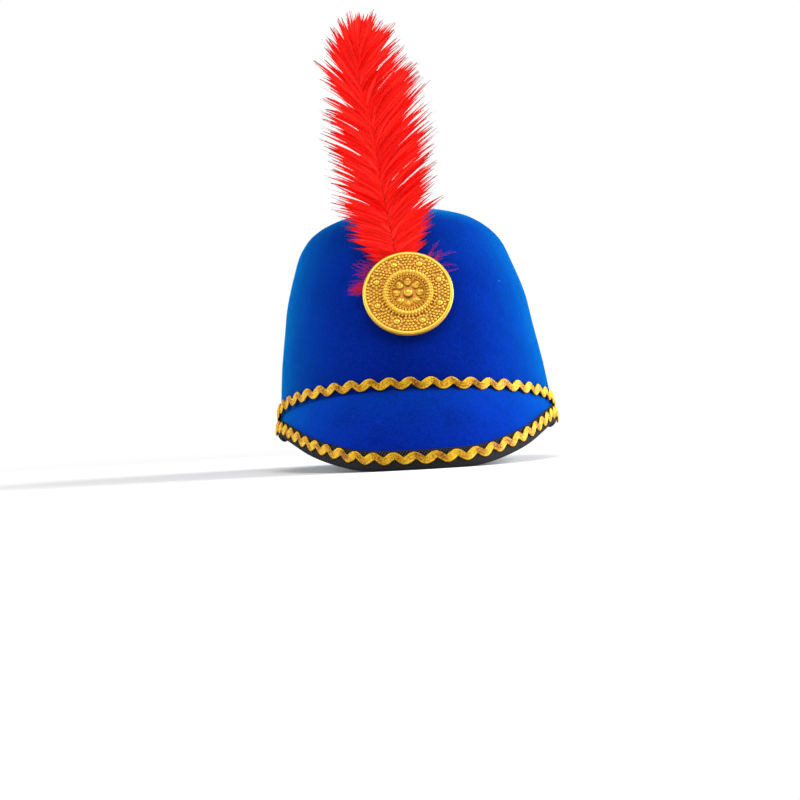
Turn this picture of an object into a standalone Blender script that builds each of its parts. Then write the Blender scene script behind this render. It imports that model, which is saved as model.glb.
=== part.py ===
"""A costume shako: felt crown and peak, black tapes, rickrack braid, a cast badge and an ostrich plume.

Metres, +Z up, front towards -Y. The hat rests by itself on its peak's edge and the back of its rim.
Shapes are worked out in the hat's own frame: X sideways, -Y forward, Z up the crown, rim at Z = 0.
"""

import math

import bmesh
import bpy
from mathutils import Matrix, Vector

# Felt crown
CROWN_HALF_WIDTH = 0.0835
CROWN_HALF_LENGTH = 0.100
CROWN_HEIGHT = 0.1293
CROWN_FELT = 0.0023
RIM_RISE = 0.0055
POLE_SHIFT = -0.002
CROWN_SIDES = 48

# Felt peak, butted under the rim
PEAK_LENGTH = 0.057
PEAK_FELT = 0.0025
PEAK_ARCH = 0.0034
PEAK_FRONT_SLOPE = math.radians(65)
PEAK_SIDE_SLOPE = math.radians(81)
PEAK_END_ANGLE = math.radians(96)
PEAK_SECTIONS = 40
PEAK_STATIONS = (0.2, 0.45, 0.72)

# Black tapes
TAPE = 0.0008
BAND_FRONT_HEIGHT = 0.0034
BAND_BACK_HEIGHT = 0.0080
BAND_BACK_LIFT = 0.0016
BAND_FRONT_DROP = 0.0002
BAND_LEAST_LIFT = 0.0006
BAND_WIDENS = (math.radians(84), math.radians(104))
BINDING_WIDTH = 0.0098
BINDING_UNDER = 0.0100
BINDING_LEAST = 0.0009
FOLD = 0.0005

# Rickrack braids
BRAID_WAVE = 0.012
BRAID_SWING = 0.0015
BRAID_WIDTH = 0.0048
SEAM_BRAID_LIFT = 0.0052
SEAM_BRAID_DIP = 0.0036
SEAM_BRAID_DIP_ANGLE = math.radians(30)
SEAM_BRAID_DIP_WIDTH = math.radians(55)
BRAID_THICKNESS = 0.0011
SEAM_BRAID_END_ANGLE = math.radians(93)
PEAK_BRAID_END_ANGLE = math.radians(90)
PEAK_BRAID_INSET = 0.0054
PEAK_BRAID_DIP = 0.0012
PEAK_BRAID_DIP_WIDTH = math.radians(25)
PEAK_BRAID_LEAST = 0.0046
SECTIONS_PER_WAVE = 6
SMALL_TURN = 0.01
LINE_SAMPLES = 400

# Cast badge
BADGE_RADIUS = 0.0265
BADGE_THICKNESS = 0.0036
BADGE_HEIGHT = 0.0568
BADGE_SIDE = -0.0019
BADGE_SEAT_RADIUS = 0.006
BADGE_DENT = 0.0028
BADGE_DENT_SPREAD = 1.1
BADGE_SIDES = 42
BADGE_BACK_SHARE = 0.96
ROSETTES = 8
ROSETTE_RING = 0.735
ROSETTE_FIELD = 0.80
ROSETTE_RADIUS = 0.0031
ROSETTE_RISE = 0.0009
RELIEF_SINK = 0.0006
SHELLS = 8
SHELL_RING = 0.26
SHELL_RADIUS = 0.0020
SHELL_RISE = 0.0012
BOSS_RADIUS = 0.0029
BOSS_RISE = 0.0026

# Ostrich plume
PLUME_LENGTH = 0.141
QUILL_RADIUS = 0.0010
QUILL_TIP_RADIUS = 0.0006
QUILL_TUCK = 0.014
QUILL_SIDES = 6
QUILL_SECTIONS = 7
QUILL_END = 0.97
VANE_THICKNESS = 0.0042
VANE_FILL = 0.66
VANE_SECTIONS = 9
VANE_END = 0.955
LOCKS_A_SIDE = 9
LOCK_SECTIONS = (0.0, 0.35, 0.65, 0.88, 1.0)
LOCK_WIDTH = 0.0155
LOCK_TIP_WIDTH = 0.0011
LOCK_THICKNESS = 0.0044
LOCK_TIP_THICKNESS = 0.0011
LOCK_CLIMB = 0.78
LOCK_BEND_UP = 0.62
LOCK_BEND_OUT = 0.42
LOCK_CURL_FRONT = 0.125
LOCK_CURL_BACK = -0.054
LOWEST_LOCK = 0.05
LOCK_TIPS = (0.18, 0.98)
SIDE_STEP = 0.012
TUFT_WIDTH = 0.0095
TUFT_THICKNESS = 0.0016
TUFT_BEND = 0.02

# Fits and finish
SMALL_SHARE = 0.02
CREASE_ANGLE = math.radians(40)
CLEARANCE = 0.0003
SETTLE = 0.0010

# Each row: height up the crown, then left and right half-widths, front and back half-lengths, as shares.
CROWN_SHAPE = (
    (0.000, 1.000, 0.995, 1.000, 1.000),
    (0.074, 0.998, 0.988, 0.993, 0.996),
    (0.154, 0.993, 0.976, 0.984, 0.991),
    (0.309, 0.977, 0.938, 0.964, 0.977),
    (0.464, 0.945, 0.893, 0.940, 0.958),
    (0.619, 0.911, 0.846, 0.907, 0.930),
    (0.777, 0.846, 0.762, 0.826, 0.850),
    (0.862, 0.796, 0.704, 0.768, 0.796),
    (0.919, 0.726, 0.616, 0.672, 0.702),
    (0.955, 0.606, 0.500, 0.535, 0.566),
    (0.980, 0.440, 0.360, 0.382, 0.400),
    (0.994, 0.250, 0.205, 0.218, 0.228),
    (1.000, 0.000, 0.000, 0.000, 0.000),
)

# Each row: angle from the front in degrees, share of the peak's length there.
PEAK_SHAPE = (
    (0.0, 1.000),
    (12.0, 0.973),
    (20.0, 0.915),
    (28.0, 0.815),
    (36.0, 0.705),
    (45.0, 0.575),
    (55.0, 0.430),
    (67.0, 0.285),
    (80.0, 0.175),
    (96.0, 0.110),
)

# Each row: share of the radius, height of the cast face as a share of the badge's thickness.
BADGE_SHAPE = (
    (1.000, 0.25),
    (1.000, 0.88),
    (0.970, 1.00),
    (0.905, 1.00),
    (0.875, 0.80),
    (0.590, 0.86),
    (0.560, 1.28),
    (0.500, 1.40),
    (0.440, 1.26),
    (0.415, 1.00),
    (0.340, 0.90),
    (0.170, 0.66),
)

# Each row: share of the plume's length, sideways and forward shift of the quill, left and right reach.
PLUME_SHAPE = (
    (0.00, -0.040, 0.000, 0.130, 0.090),
    (0.10, -0.056, -0.006, 0.172, 0.150),
    (0.25, -0.078, -0.004, 0.205, 0.195),
    (0.40, -0.096, 0.006, 0.212, 0.238),
    (0.55, -0.112, 0.024, 0.198, 0.252),
    (0.70, -0.146, 0.050, 0.170, 0.245),
    (0.82, -0.154, 0.078, 0.160, 0.212),
    (0.92, -0.140, 0.108, 0.115, 0.135),
    (1.00, -0.124, 0.135, 0.030, 0.020),
)

# Each row: side of the quill, share of the plume's length, reach sideways and upwards of a tuft at its root.
ROOT_TUFTS = (
    (-1, 0.015, 0.150, -0.120),
    (-1, 0.040, 0.200, 0.010),
    (1, 0.040, 0.160, 0.035),
)

collection = bpy.data.collections.new("shako")
helpers = bpy.data.collections.new("shako_helpers")


def clear_scene():
    for obj in list(bpy.data.objects):
        bpy.data.objects.remove(obj, do_unlink=True)
    bpy.context.scene.collection.children.link(collection)
    bpy.context.scene.collection.children.link(helpers)


def material(name, colour, roughness, metallic=0.0):
    made = bpy.data.materials.new(name)
    made.use_nodes = True
    shader = made.node_tree.nodes["Principled BSDF"]
    shader.inputs["Base Color"].default_value = (*colour, 1.0)
    shader.inputs["Roughness"].default_value = roughness
    shader.inputs["Metallic"].default_value = metallic
    made.diffuse_color = (*colour, 1.0)
    return made


def read_table(table, at):
    """The columns after the first, read smoothly between the rows of a table."""
    last = len(table) - 1
    row = next((i for i in range(1, last) if at < table[i][0]), last)
    before, low, high, after = (table[min(max(i, 0), last)] for i in range(row - 2, row + 2))
    span = high[0] - low[0]
    share = min(max((at - low[0]) / span, 0.0), 1.0)
    found = []
    for column in range(1, len(low)):
        rise_low = (high[column] - before[column]) / (high[0] - before[0]) * span
        rise_high = (after[column] - low[column]) / (after[0] - low[0]) * span
        found.append(
            low[column] * (1 + 2 * share) * (1 - share) ** 2
            + rise_low * share * (1 - share) ** 2
            + high[column] * share**2 * (3 - 2 * share)
            - rise_high * share**2 * (1 - share)
        )
    return found


def spread(first, last, count):
    return [first + (last - first) * i / (count - 1) for i in range(count)]


def rim_height(angle):
    return RIM_RISE * math.sin(angle) ** 2


def badge_dent(sideways, height):
    """How far the felt is pressed in behind the badge."""
    distance = math.hypot(sideways - BADGE_SIDE, height - BADGE_HEIGHT) / BADGE_RADIUS
    return BADGE_DENT * math.exp(-(distance**2) / BADGE_DENT_SPREAD)


def crown_point(angle, height, out=0.0):
    """A point of the crown's outer face, or one that stands out from it. The angle is 0 in front."""
    left, right, front, back = read_table(CROWN_SHAPE, height / CROWN_HEIGHT)
    half_width = CROWN_HALF_WIDTH * (right if math.sin(angle) > 0 else left)
    half_length = CROWN_HALF_LENGTH * (front if math.cos(angle) > 0 else back)
    outward = Vector((math.sin(angle) * half_length, -math.cos(angle) * half_width, 0)).normalized()
    point = Vector((math.sin(angle) * half_width, -math.cos(angle) * half_length, height)) + outward * out
    if math.cos(angle) > 0:
        point.y += badge_dent(point.x, height)
    return point


def peak_frame(angle):
    """Where the peak starts, which way it runs out and down, its outer face's normal, and its length."""
    start = crown_point(angle, rim_height(angle))
    start.z -= CLEARANCE
    side = min(abs(math.sin(angle)), 1.0) ** 2 if abs(angle) < math.pi / 2 else 1.0
    slope = PEAK_FRONT_SLOPE + (PEAK_SIDE_SLOPE - PEAK_FRONT_SLOPE) * side
    outward = Vector(
        (math.sin(angle) * CROWN_HALF_LENGTH, -math.cos(angle) * CROWN_HALF_WIDTH, 0)
    ).normalized()
    up = Vector((0, 0, 1))
    along = outward * math.cos(slope) - up * math.sin(slope)
    normal = outward * math.sin(slope) + up * math.cos(slope)
    length = PEAK_LENGTH * read_table(PEAK_SHAPE, math.degrees(abs(angle)))[0]
    return start, along, normal, length


def peak_point(angle, distance, depth):
    """A point a distance down the peak from the rim, and a depth under its outer face."""
    start, along, normal, length = peak_frame(angle)
    share = distance / length
    arch = PEAK_ARCH * (length / PEAK_LENGTH) * 4 * share * (1 - share)
    return start + along * distance + normal * (arch - depth)


def under_rim(angle, depth):
    """Where a layer of the peak at this depth meets the level of the rim."""
    start, along, normal, _ = peak_frame(angle)
    return start + along * (depth * normal.z / along.z) - normal * depth


def stand():
    """The turn and lift that set the hat down on its peak's edge and the back of its rim."""
    wrap = TAPE + CLEARANCE
    front = peak_point(0, PEAK_LENGTH + wrap, PEAK_FELT)
    back = crown_point(math.pi, 0)
    tilt = math.atan2(back.z - front.z, back.y - front.y)
    turn = Matrix.Rotation(-tilt, 4, "X")
    return Matrix.Translation((0, 0, -(turn @ back).z - SETTLE)) @ turn


STAND = stand()
FLOOR_UP = STAND.to_3x3().inverted() @ Vector((0, 0, 1))
FLOOR_FORWARD = STAND.to_3x3().inverted() @ Vector((0, -1, 0))


def pressed(point, layer=0.0):
    """Felt and tape lie flat where they rest: a point is kept a layer above the floor."""
    height = (STAND @ point).z
    return point + FLOOR_UP * max(layer - height, 0.0)


def add_object(name, bm, finish, parent):
    bmesh.ops.recalc_face_normals(bm, faces=bm.faces)
    mesh = bpy.data.meshes.new(name)
    bm.to_mesh(mesh)
    bm.free()
    mesh.shade_smooth()
    mesh.set_sharp_from_angle(angle=CREASE_ANGLE)
    mesh.materials.append(finish)
    obj = bpy.data.objects.new(name, mesh)
    collection.objects.link(obj)
    obj.parent = parent
    return obj


def skin(bm, rows, closed_rows=True, closed_loop=False, capped=False):
    """Faces between rows of points, each row a section."""
    made = [[bm.verts.new(point) for point in row] for row in rows]
    pairs = list(zip(made, made[1:]))
    if closed_loop:
        pairs.append((made[-1], made[0]))
    for near, far in pairs:
        count = len(near) if closed_rows else len(near) - 1
        for i in range(count):
            j = (i + 1) % len(near)
            bm.faces.new((near[i], near[j], far[j], far[i]))
    if capped:
        bm.faces.new(made[0])
        bm.faces.new(made[-1])
    return made


def make_crown(finish, parent):
    """An open felt dome, given its wall and laid flat on the floor at its back."""
    bm = bmesh.new()
    angles = [2 * math.pi * i / CROWN_SIDES for i in range(CROWN_SIDES)]
    rows = [[crown_point(angle, rim_height(angle)) for angle in angles]]
    for height, *_ in CROWN_SHAPE[1:-1]:
        rows.append([crown_point(angle, height * CROWN_HEIGHT) for angle in angles])
    made = skin(bm, rows)
    pole = bm.verts.new((POLE_SHIFT, 0, CROWN_HEIGHT))
    for i, vert in enumerate(made[-1]):
        bm.faces.new((vert, made[-1][(i + 1) % CROWN_SIDES], pole))
    bmesh.ops.recalc_face_normals(bm, faces=bm.faces)
    bmesh.ops.solidify(bm, geom=bm.faces, thickness=CROWN_FELT)
    for vert in bm.verts:
        vert.co = pressed(vert.co)
    return add_object("crown", bm, finish, parent)


def make_peak(finish, parent):
    """A felt peak whose top edge is cut level under the rim."""
    layer = TAPE + CLEARANCE
    rows = []
    for angle in spread(-PEAK_END_ANGLE, PEAK_END_ANGLE, PEAK_SECTIONS):
        length = peak_frame(angle)[3]
        stations = [(share * length, 0) for share in PEAK_STATIONS]
        stations += [(length - FOLD, 0), (length, FOLD), (length, PEAK_FELT - FOLD)]
        stations += [(length - FOLD, PEAK_FELT)]
        stations += [(share * length, PEAK_FELT) for share in PEAK_STATIONS[::-1]]
        row = [under_rim(angle, 0)]
        row += [peak_point(angle, *station) for station in stations]
        row.append(under_rim(angle, PEAK_FELT))
        rows.append([pressed(point, layer) for point in row])
    bm = bmesh.new()
    skin(bm, rows, capped=True)
    return add_object("peak", bm, finish, parent)


def seam_lift(angle):
    """The upper braid's height over the rim: it dips to the right of the front."""
    turned = (math.remainder(angle, 2 * math.pi) - SEAM_BRAID_DIP_ANGLE) / SEAM_BRAID_DIP_WIDTH
    return SEAM_BRAID_LIFT - SEAM_BRAID_DIP * math.exp(-turned * turned)


def band_edges(angle):
    """The band's lower and upper edge: narrow under the braid in front, a full tape round the back."""
    turned = abs(math.remainder(angle, 2 * math.pi))
    share = (turned - BAND_WIDENS[0]) / (BAND_WIDENS[1] - BAND_WIDENS[0])
    share = min(max(share, 0.0), 1.0)
    share *= share * (3 - 2 * share)
    front_low = max(seam_lift(angle) - BAND_FRONT_DROP - BAND_FRONT_HEIGHT / 2, BAND_LEAST_LIFT)
    low = rim_height(angle) + front_low + (BAND_BACK_LIFT - front_low) * share
    return low, low + BAND_FRONT_HEIGHT + (BAND_BACK_HEIGHT - BAND_FRONT_HEIGHT) * share


def make_crown_band(finish, parent):
    """A flat tape round the foot of the crown."""
    rows = []
    for i in range(CROWN_SIDES):
        angle = 2 * math.pi * i / CROWN_SIDES
        low, high = band_edges(angle)
        inner, outer = CLEARANCE, CLEARANCE + TAPE
        corners = [(low, inner), (low, outer), (high, outer), (high, inner)]
        rows.append([crown_point(angle, height, out) for height, out in corners])
    bm = bmesh.new()
    skin(bm, rows, closed_loop=True)
    return add_object("crown_band", bm, finish, parent)


def binding_layer(angle, off, layer):
    """The fold of the binding round the peak's edge, at a distance off the felt."""
    length = peak_frame(angle)[3]
    top = max(length - BINDING_WIDTH, BINDING_LEAST)
    under = max(length - BINDING_UNDER, BINDING_LEAST + PEAK_FELT)
    stations = [(top, -off), ((top + length) / 2, -off), (length - FOLD, -off)]
    stations += [(length + off, FOLD), (length + off, PEAK_FELT - FOLD)]
    stations += [(length - FOLD, PEAK_FELT + off), (under, PEAK_FELT + off)]
    return [pressed(peak_point(angle, *station), layer) for station in stations]


def make_peak_binding(finish, parent):
    """A tape folded over the peak's edge."""
    rows = []
    for angle in spread(-PEAK_END_ANGLE, PEAK_END_ANGLE, PEAK_SECTIONS):
        inner = binding_layer(angle, CLEARANCE, TAPE)
        outer = binding_layer(angle, CLEARANCE + TAPE, 0.0)
        rows.append(outer + inner[::-1])
    bm = bmesh.new()
    skin(bm, rows, capped=True)
    return add_object("peak_binding", bm, finish, parent)


def seam_line(angle, off, across):
    """A point over the crown band, at a height off it and a distance across its middle."""
    height = rim_height(angle) + seam_lift(angle) + across
    return crown_point(angle, height, 2 * CLEARANCE + TAPE + off)


def edge_line(angle, off, across):
    """A point over the peak's binding, at a height off it and a distance across its middle."""
    length = peak_frame(angle)[3]
    dip = PEAK_BRAID_DIP * math.exp(-((angle / PEAK_BRAID_DIP_WIDTH) ** 2))
    middle = max(length - PEAK_BRAID_INSET + dip, PEAK_BRAID_LEAST)
    return peak_point(angle, middle - across, -(2 * CLEARANCE + TAPE + off))


def wave_angles(line, end_angle):
    """Angles a fixed share of a wave apart along a line, so that the waves are even."""
    fine = spread(-end_angle, end_angle, LINE_SAMPLES)
    points = [line(angle, 0, 0) for angle in fine]
    reached = [0.0]
    for near, far in zip(points, points[1:]):
        reached.append(reached[-1] + (far - near).length)
    count = SECTIONS_PER_WAVE * round(reached[-1] / BRAID_WAVE)
    angles, i = [], 0
    for wanted in spread(0, reached[-1], count + 1):
        while i < len(fine) - 2 and reached[i + 1] < wanted:
            i += 1
        share = (wanted - reached[i]) / (reached[i + 1] - reached[i])
        angles.append(fine[i] + (fine[i + 1] - fine[i]) * share)
    return angles


def make_braid(name, line, end_angle, finish, parent):
    """A flat strand that waves along a line."""
    angles = wave_angles(line, end_angle)
    turn = 2 * math.pi / SECTIONS_PER_WAVE
    wave = BRAID_WAVE / (2 * math.pi)
    rows = []
    for i, angle in enumerate(angles):
        middle = BRAID_SWING * math.sin(turn * i)
        slant = BRAID_SWING * math.cos(turn * i) / wave
        step = BRAID_WIDTH / 2 / math.hypot(1, slant)
        lean = -slant * step / (line(angle, 0, 0) - line(angle + SMALL_TURN, 0, 0)).length * SMALL_TURN
        corners = [(1, 0), (1, BRAID_THICKNESS), (-1, BRAID_THICKNESS), (-1, 0)]
        rows.append([line(angle + side * lean, off, middle + side * step) for side, off in corners])
    bm = bmesh.new()
    skin(bm, rows, capped=True)
    return add_object(name, bm, finish, parent)


def badge_place():
    """The badge's middle on the crown, its axis along the wall's slope."""
    angle = math.asin(BADGE_SIDE / CROWN_HALF_WIDTH)
    low = crown_point(angle, BADGE_HEIGHT - BADGE_RADIUS)
    high = crown_point(angle, BADGE_HEIGHT + BADGE_RADIUS)
    up = (high - low).normalized()
    outward = up.cross(Vector((-1, 0, 0))).normalized()
    if outward.y > 0:
        outward = -outward
    side = up.cross(outward)
    seat = crown_point(angle, BADGE_HEIGHT)
    reach = max((low - seat).dot(outward), (high - seat).dot(outward), 0.0)
    middle = seat + outward * (reach + badge_standoff())
    turn = Matrix((side, up, outward)).transposed().to_4x4()
    return Matrix.Translation(middle) @ turn, reach


def badge_standoff():
    """Room behind the badge for the plume's quill."""
    return 2 * QUILL_RADIUS + 2 * CLEARANCE


def add_dome(bm, place, radius, rise, base):
    """A low round boss, sunk into the face that it stands on."""
    scale = Matrix.Diagonal((1, 1, (rise + RELIEF_SINK) / radius, 1))
    move = Matrix.Translation((*place, base - RELIEF_SINK))
    bmesh.ops.create_uvsphere(bm, u_segments=8, v_segments=5, radius=radius, matrix=move @ scale)


def make_relief(name, count, ring, radius, rise, base, half_turn):
    """A ring of bosses, each standing on the cast face."""
    bm = bmesh.new()
    for i in range(count):
        angle = 2 * math.pi * (i + half_turn) / count
        add_dome(bm, (ring * math.cos(angle), ring * math.sin(angle)), radius, rise, base)
    mesh = bpy.data.meshes.new(name)
    bm.to_mesh(mesh)
    bm.free()
    obj = bpy.data.objects.new(name, mesh)
    helpers.objects.link(obj)
    obj.hide_render = True
    obj.display_type = "WIRE"
    return obj


def join_relief(obj, helper):
    join = obj.modifiers.new(helper.name, "BOOLEAN")
    join.operation = "UNION"
    join.solver = "EXACT"
    join.object = helper


def make_badge(finish, parent):
    """A turned and cast disc: beaded border, raised ring, bowl of shells and a boss. Its seat is behind."""
    place, reach = badge_place()
    foot = CLEARANCE - reach - badge_standoff()
    face = [(share * BADGE_RADIUS, height * BADGE_THICKNESS) for share, height in BADGE_SHAPE]
    bowl = face[-1][1]
    profile = [(0, bowl)] + face[::-1]
    profile += [(BADGE_RADIUS * BADGE_BACK_SHARE, 0), (BADGE_SEAT_RADIUS, 0), (BADGE_SEAT_RADIUS, foot), (0, foot)]
    bm = bmesh.new()
    verts = [bm.verts.new((x, 0, z)) for x, z in profile]
    edges = [bm.edges.new(pair) for pair in zip(verts, verts[1:])]
    bmesh.ops.spin(
        bm,
        geom=verts + edges,
        cent=(0, 0, 0),
        axis=(0, 0, 1),
        angle=2 * math.pi,
        steps=BADGE_SIDES,
        use_merge=True,
    )
    bmesh.ops.remove_doubles(bm, verts=bm.verts, dist=0.00001)
    obj = add_object("badge", bm, finish, parent)
    obj.matrix_local = place
    border = ROSETTE_RING * BADGE_RADIUS
    field = ROSETTE_FIELD * BADGE_THICKNESS
    rosettes = make_relief("rosettes", ROSETTES, border, ROSETTE_RADIUS, ROSETTE_RISE, field, 0.5)
    ring = SHELL_RING * BADGE_RADIUS
    shells = make_relief("shells", SHELLS, ring, SHELL_RADIUS, SHELL_RISE, bowl, 0.0)
    boss = make_relief("boss", 1, 0.0, BOSS_RADIUS, BOSS_RISE, bowl, 0.0)
    for helper in (rosettes, shells, boss):
        helper.parent = obj
        join_relief(obj, helper)
    return obj


def quill_point(share):
    """A point of the quill: it leaves from behind the badge and bends forward as it rises."""
    place, _ = badge_place()
    root = place @ Vector((0, BADGE_RADIUS, -CLEARANCE - QUILL_RADIUS))
    sideways, forward = read_table(PLUME_SHAPE, share)[:2]
    start = PLUME_SHAPE[0]
    climb = FLOOR_UP * (share * PLUME_LENGTH)
    lean = FLOOR_FORWARD * ((forward - start[2]) * PLUME_LENGTH)
    return root + climb + lean + Vector((sideways * PLUME_LENGTH, 0, 0))


def plume_frame(share):
    """Directions at a point of the quill: up along it, sideways, and out of its face."""
    above = quill_point(min(share + SMALL_SHARE, 1.0))
    up = (above - quill_point(max(share - SMALL_SHARE, 0.0))).normalized()
    side = Vector((1, 0, 0)) - up * up.x
    side.normalize()
    return up, side, side.cross(up)


def strip_section(middle, across, out, width, thickness):
    """A flat section with blunt edges."""
    corners = ((-0.5, 0), (-0.25, -0.5), (0.25, -0.5), (0.5, 0), (0.25, 0.5), (-0.25, 0.5))
    return [middle + across * (x * width) + out * (z * thickness) for x, z in corners]


def lock_rows(start, bend, tip, out, full_width, full_thickness):
    """Sections of one lock, from the quill out to its tip along a bent line."""
    rows = []
    for share in LOCK_SECTIONS:
        middle = start * (1 - share) ** 2 + bend * 2 * share * (1 - share) + tip * share**2
        along = ((bend - start) * (1 - share) + (tip - bend) * share).normalized()
        across = out.cross(along).normalized()
        taper = 1 - share**2.2
        root = min(0.4 + 1.8 * share, 1.0)
        width = LOCK_TIP_WIDTH + (full_width - LOCK_TIP_WIDTH) * taper * root
        thickness = LOCK_TIP_THICKNESS + (full_thickness - LOCK_TIP_THICKNESS) * taper
        rows.append(strip_section(middle, across, out, width, thickness))
    return rows


def side_lock(tip_share, side, index):
    """One of the locks that make the outline of a vane."""
    left, right = read_table(PLUME_SHAPE, tip_share)[2:]
    reach = (left if side < 0 else right) * PLUME_LENGTH
    root_share = max(tip_share - reach * LOCK_CLIMB / PLUME_LENGTH, LOWEST_LOCK)
    up, across, out = plume_frame(root_share)
    start = quill_point(root_share) - across * (side * QUILL_RADIUS)
    curl = out * reach * (LOCK_CURL_FRONT if index % 2 else LOCK_CURL_BACK)
    tip = quill_point(tip_share) + across * (side * reach) + curl
    bend = start + up * ((tip - start).dot(up) * LOCK_BEND_UP) + across * (side * reach * LOCK_BEND_OUT)
    return lock_rows(start, bend, tip, out, LOCK_WIDTH, LOCK_THICKNESS)


def root_tuft(side, share, reach, climb):
    """A thin tuft that lies over the felt, level with the quill behind the badge."""
    turn = badge_place()[0].to_3x3()
    start = quill_point(0) + turn @ Vector((0, share, 0)) * PLUME_LENGTH
    tip = start + turn @ Vector((side * reach, climb, 0)) * PLUME_LENGTH
    bend = (start + tip) / 2 + turn @ Vector((0, TUFT_BEND, 0)) * PLUME_LENGTH
    out = turn @ Vector((0, 0, 1))
    return lock_rows(start, bend, tip, out, TUFT_WIDTH, TUFT_THICKNESS)


def vane_rows():
    """The backing that every lock is fused to: a thin blade either side of the quill."""
    rows = []
    for share in spread(LOWEST_LOCK, VANE_END, VANE_SECTIONS):
        left, right = read_table(PLUME_SHAPE, share)[2:]
        _, across, out = plume_frame(share)
        fill = VANE_FILL * PLUME_LENGTH
        middle = quill_point(share) + across * ((right - left) * fill / 2)
        rows.append(strip_section(middle, across, out, (left + right) * fill, VANE_THICKNESS))
    return rows


def quill_rows():
    rows = []
    tuck = -QUILL_TUCK / PLUME_LENGTH
    place, _ = badge_place()
    down = place.to_3x3() @ Vector((0, -1, 0))
    for share in [tuck] + spread(0.0, QUILL_END, QUILL_SECTIONS):
        _, across, out = plume_frame(max(share, 0.0))
        middle = quill_point(share) if share >= 0 else quill_point(0) + down * QUILL_TUCK
        radius = QUILL_RADIUS + (QUILL_TIP_RADIUS - QUILL_RADIUS) * max(share, 0.0)
        turns = [2 * math.pi * i / QUILL_SIDES for i in range(QUILL_SIDES)]
        rows.append([middle + (across * math.cos(a) + out * math.sin(a)) * radius for a in turns])
    return rows


def helper_object(name, rows, parent):
    bm = bmesh.new()
    skin(bm, rows, capped=True)
    bmesh.ops.recalc_face_normals(bm, faces=bm.faces)
    mesh = bpy.data.meshes.new(name)
    bm.to_mesh(mesh)
    bm.free()
    obj = bpy.data.objects.new(name, mesh)
    obj.parent = parent
    obj.hide_render = True
    obj.display_type = "WIRE"
    return obj


def island(start):
    """Every face that can be reached from one over shared edges."""
    found, waiting = {start}, [start]
    while waiting:
        for edge in waiting.pop().edges:
            for face in edge.link_faces:
                if face not in found:
                    found.add(face)
                    waiting.append(face)
    return found


def keep_outer_shell(obj):
    """Applies the modifiers and fills the sealed pockets between locks."""
    graph = bpy.context.evaluated_depsgraph_get()
    mesh = bpy.data.meshes.new_from_object(obj.evaluated_get(graph))
    bm = bmesh.new()
    bm.from_mesh(mesh)
    left = set(bm.faces)
    shells = []
    while left:
        shells.append(island(next(iter(left))))
        left -= shells[-1]
    outer = max(shells, key=len)
    bmesh.ops.delete(bm, geom=[face for face in bm.faces if face not in outer], context="FACES")
    bm.to_mesh(mesh)
    bm.free()
    obj.modifiers.clear()
    obj.data = mesh


def make_plume(finish, parent):
    """A quill and its vane, with locks fused to it."""
    bm = bmesh.new()
    skin(bm, quill_rows(), capped=True)
    obj = add_object("plume", bm, finish, parent)
    locks = bpy.data.collections.new("plume_locks")
    helpers.children.link(locks)
    locks.objects.link(helper_object("vane", vane_rows(), parent))
    for index, share in enumerate(spread(*LOCK_TIPS, LOCKS_A_SIDE)):
        for side in (-1, 1):
            rows = side_lock(share + side * SIDE_STEP, side, index)
            locks.objects.link(helper_object(f"lock_{index}_{side}", rows, parent))
    for row in ROOT_TUFTS:
        locks.objects.link(helper_object("tuft", root_tuft(*row), parent))
    join = obj.modifiers.new("locks", "BOOLEAN")
    join.operation = "UNION"
    join.operand_type = "COLLECTION"
    join.solver = "MANIFOLD"
    join.collection = locks
    keep_outer_shell(obj)
    return obj


def centre_on_floor(parent):
    """Puts the middle of the hat's box over the origin."""
    bpy.context.view_layer.update()
    graph = bpy.context.evaluated_depsgraph_get()
    points = []
    for obj in collection.objects:
        if obj.type == "MESH":
            placed = obj.evaluated_get(graph)
            points += [placed.matrix_world @ vert.co for vert in placed.data.vertices]
    for axis in (0, 1):
        places = [point[axis] for point in points]
        parent.location[axis] -= (min(places) + max(places)) / 2


def main():
    clear_scene()
    hat = bpy.data.objects.new("hat_frame", None)
    collection.objects.link(hat)
    hat.matrix_world = STAND
    felt = material("blue_felt", (0.004, 0.045, 0.36), 0.95)
    tape = material("black_tape", (0.012, 0.012, 0.014), 0.80)
    braid = material("gold_braid", (0.62, 0.33, 0.03), 0.45)
    gold = material("gold_casting", (0.72, 0.37, 0.06), 0.32, 0.9)
    feather = material("red_feather", (0.90, 0.015, 0.010), 0.70)
    make_crown(felt, hat)
    make_peak(felt, hat)
    make_crown_band(tape, hat)
    make_peak_binding(tape, hat)
    make_braid("seam_braid", seam_line, SEAM_BRAID_END_ANGLE, braid, hat)
    make_braid("peak_braid", edge_line, PEAK_BRAID_END_ANGLE, braid, hat)
    make_badge(gold, hat)
    make_plume(feather, hat)
    centre_on_floor(hat)


main()
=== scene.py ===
"""The looks of a costume shako: felt, tapes, rickrack braid, a cast badge and an ostrich plume.

Metres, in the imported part's frame: +Z up, front towards -Y. Most shapes are worked out in the hat's
own frame, X sideways, -Y forward and Z up the crown, and HAT then leans them over onto the floor.
"""

from math import asin, atan2, copysign, cos, degrees, dist, exp, hypot
from math import pi, radians, remainder, sin, sqrt

import bmesh
import bpy
import numpy as np
from mathutils import Matrix, Vector, noise


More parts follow.
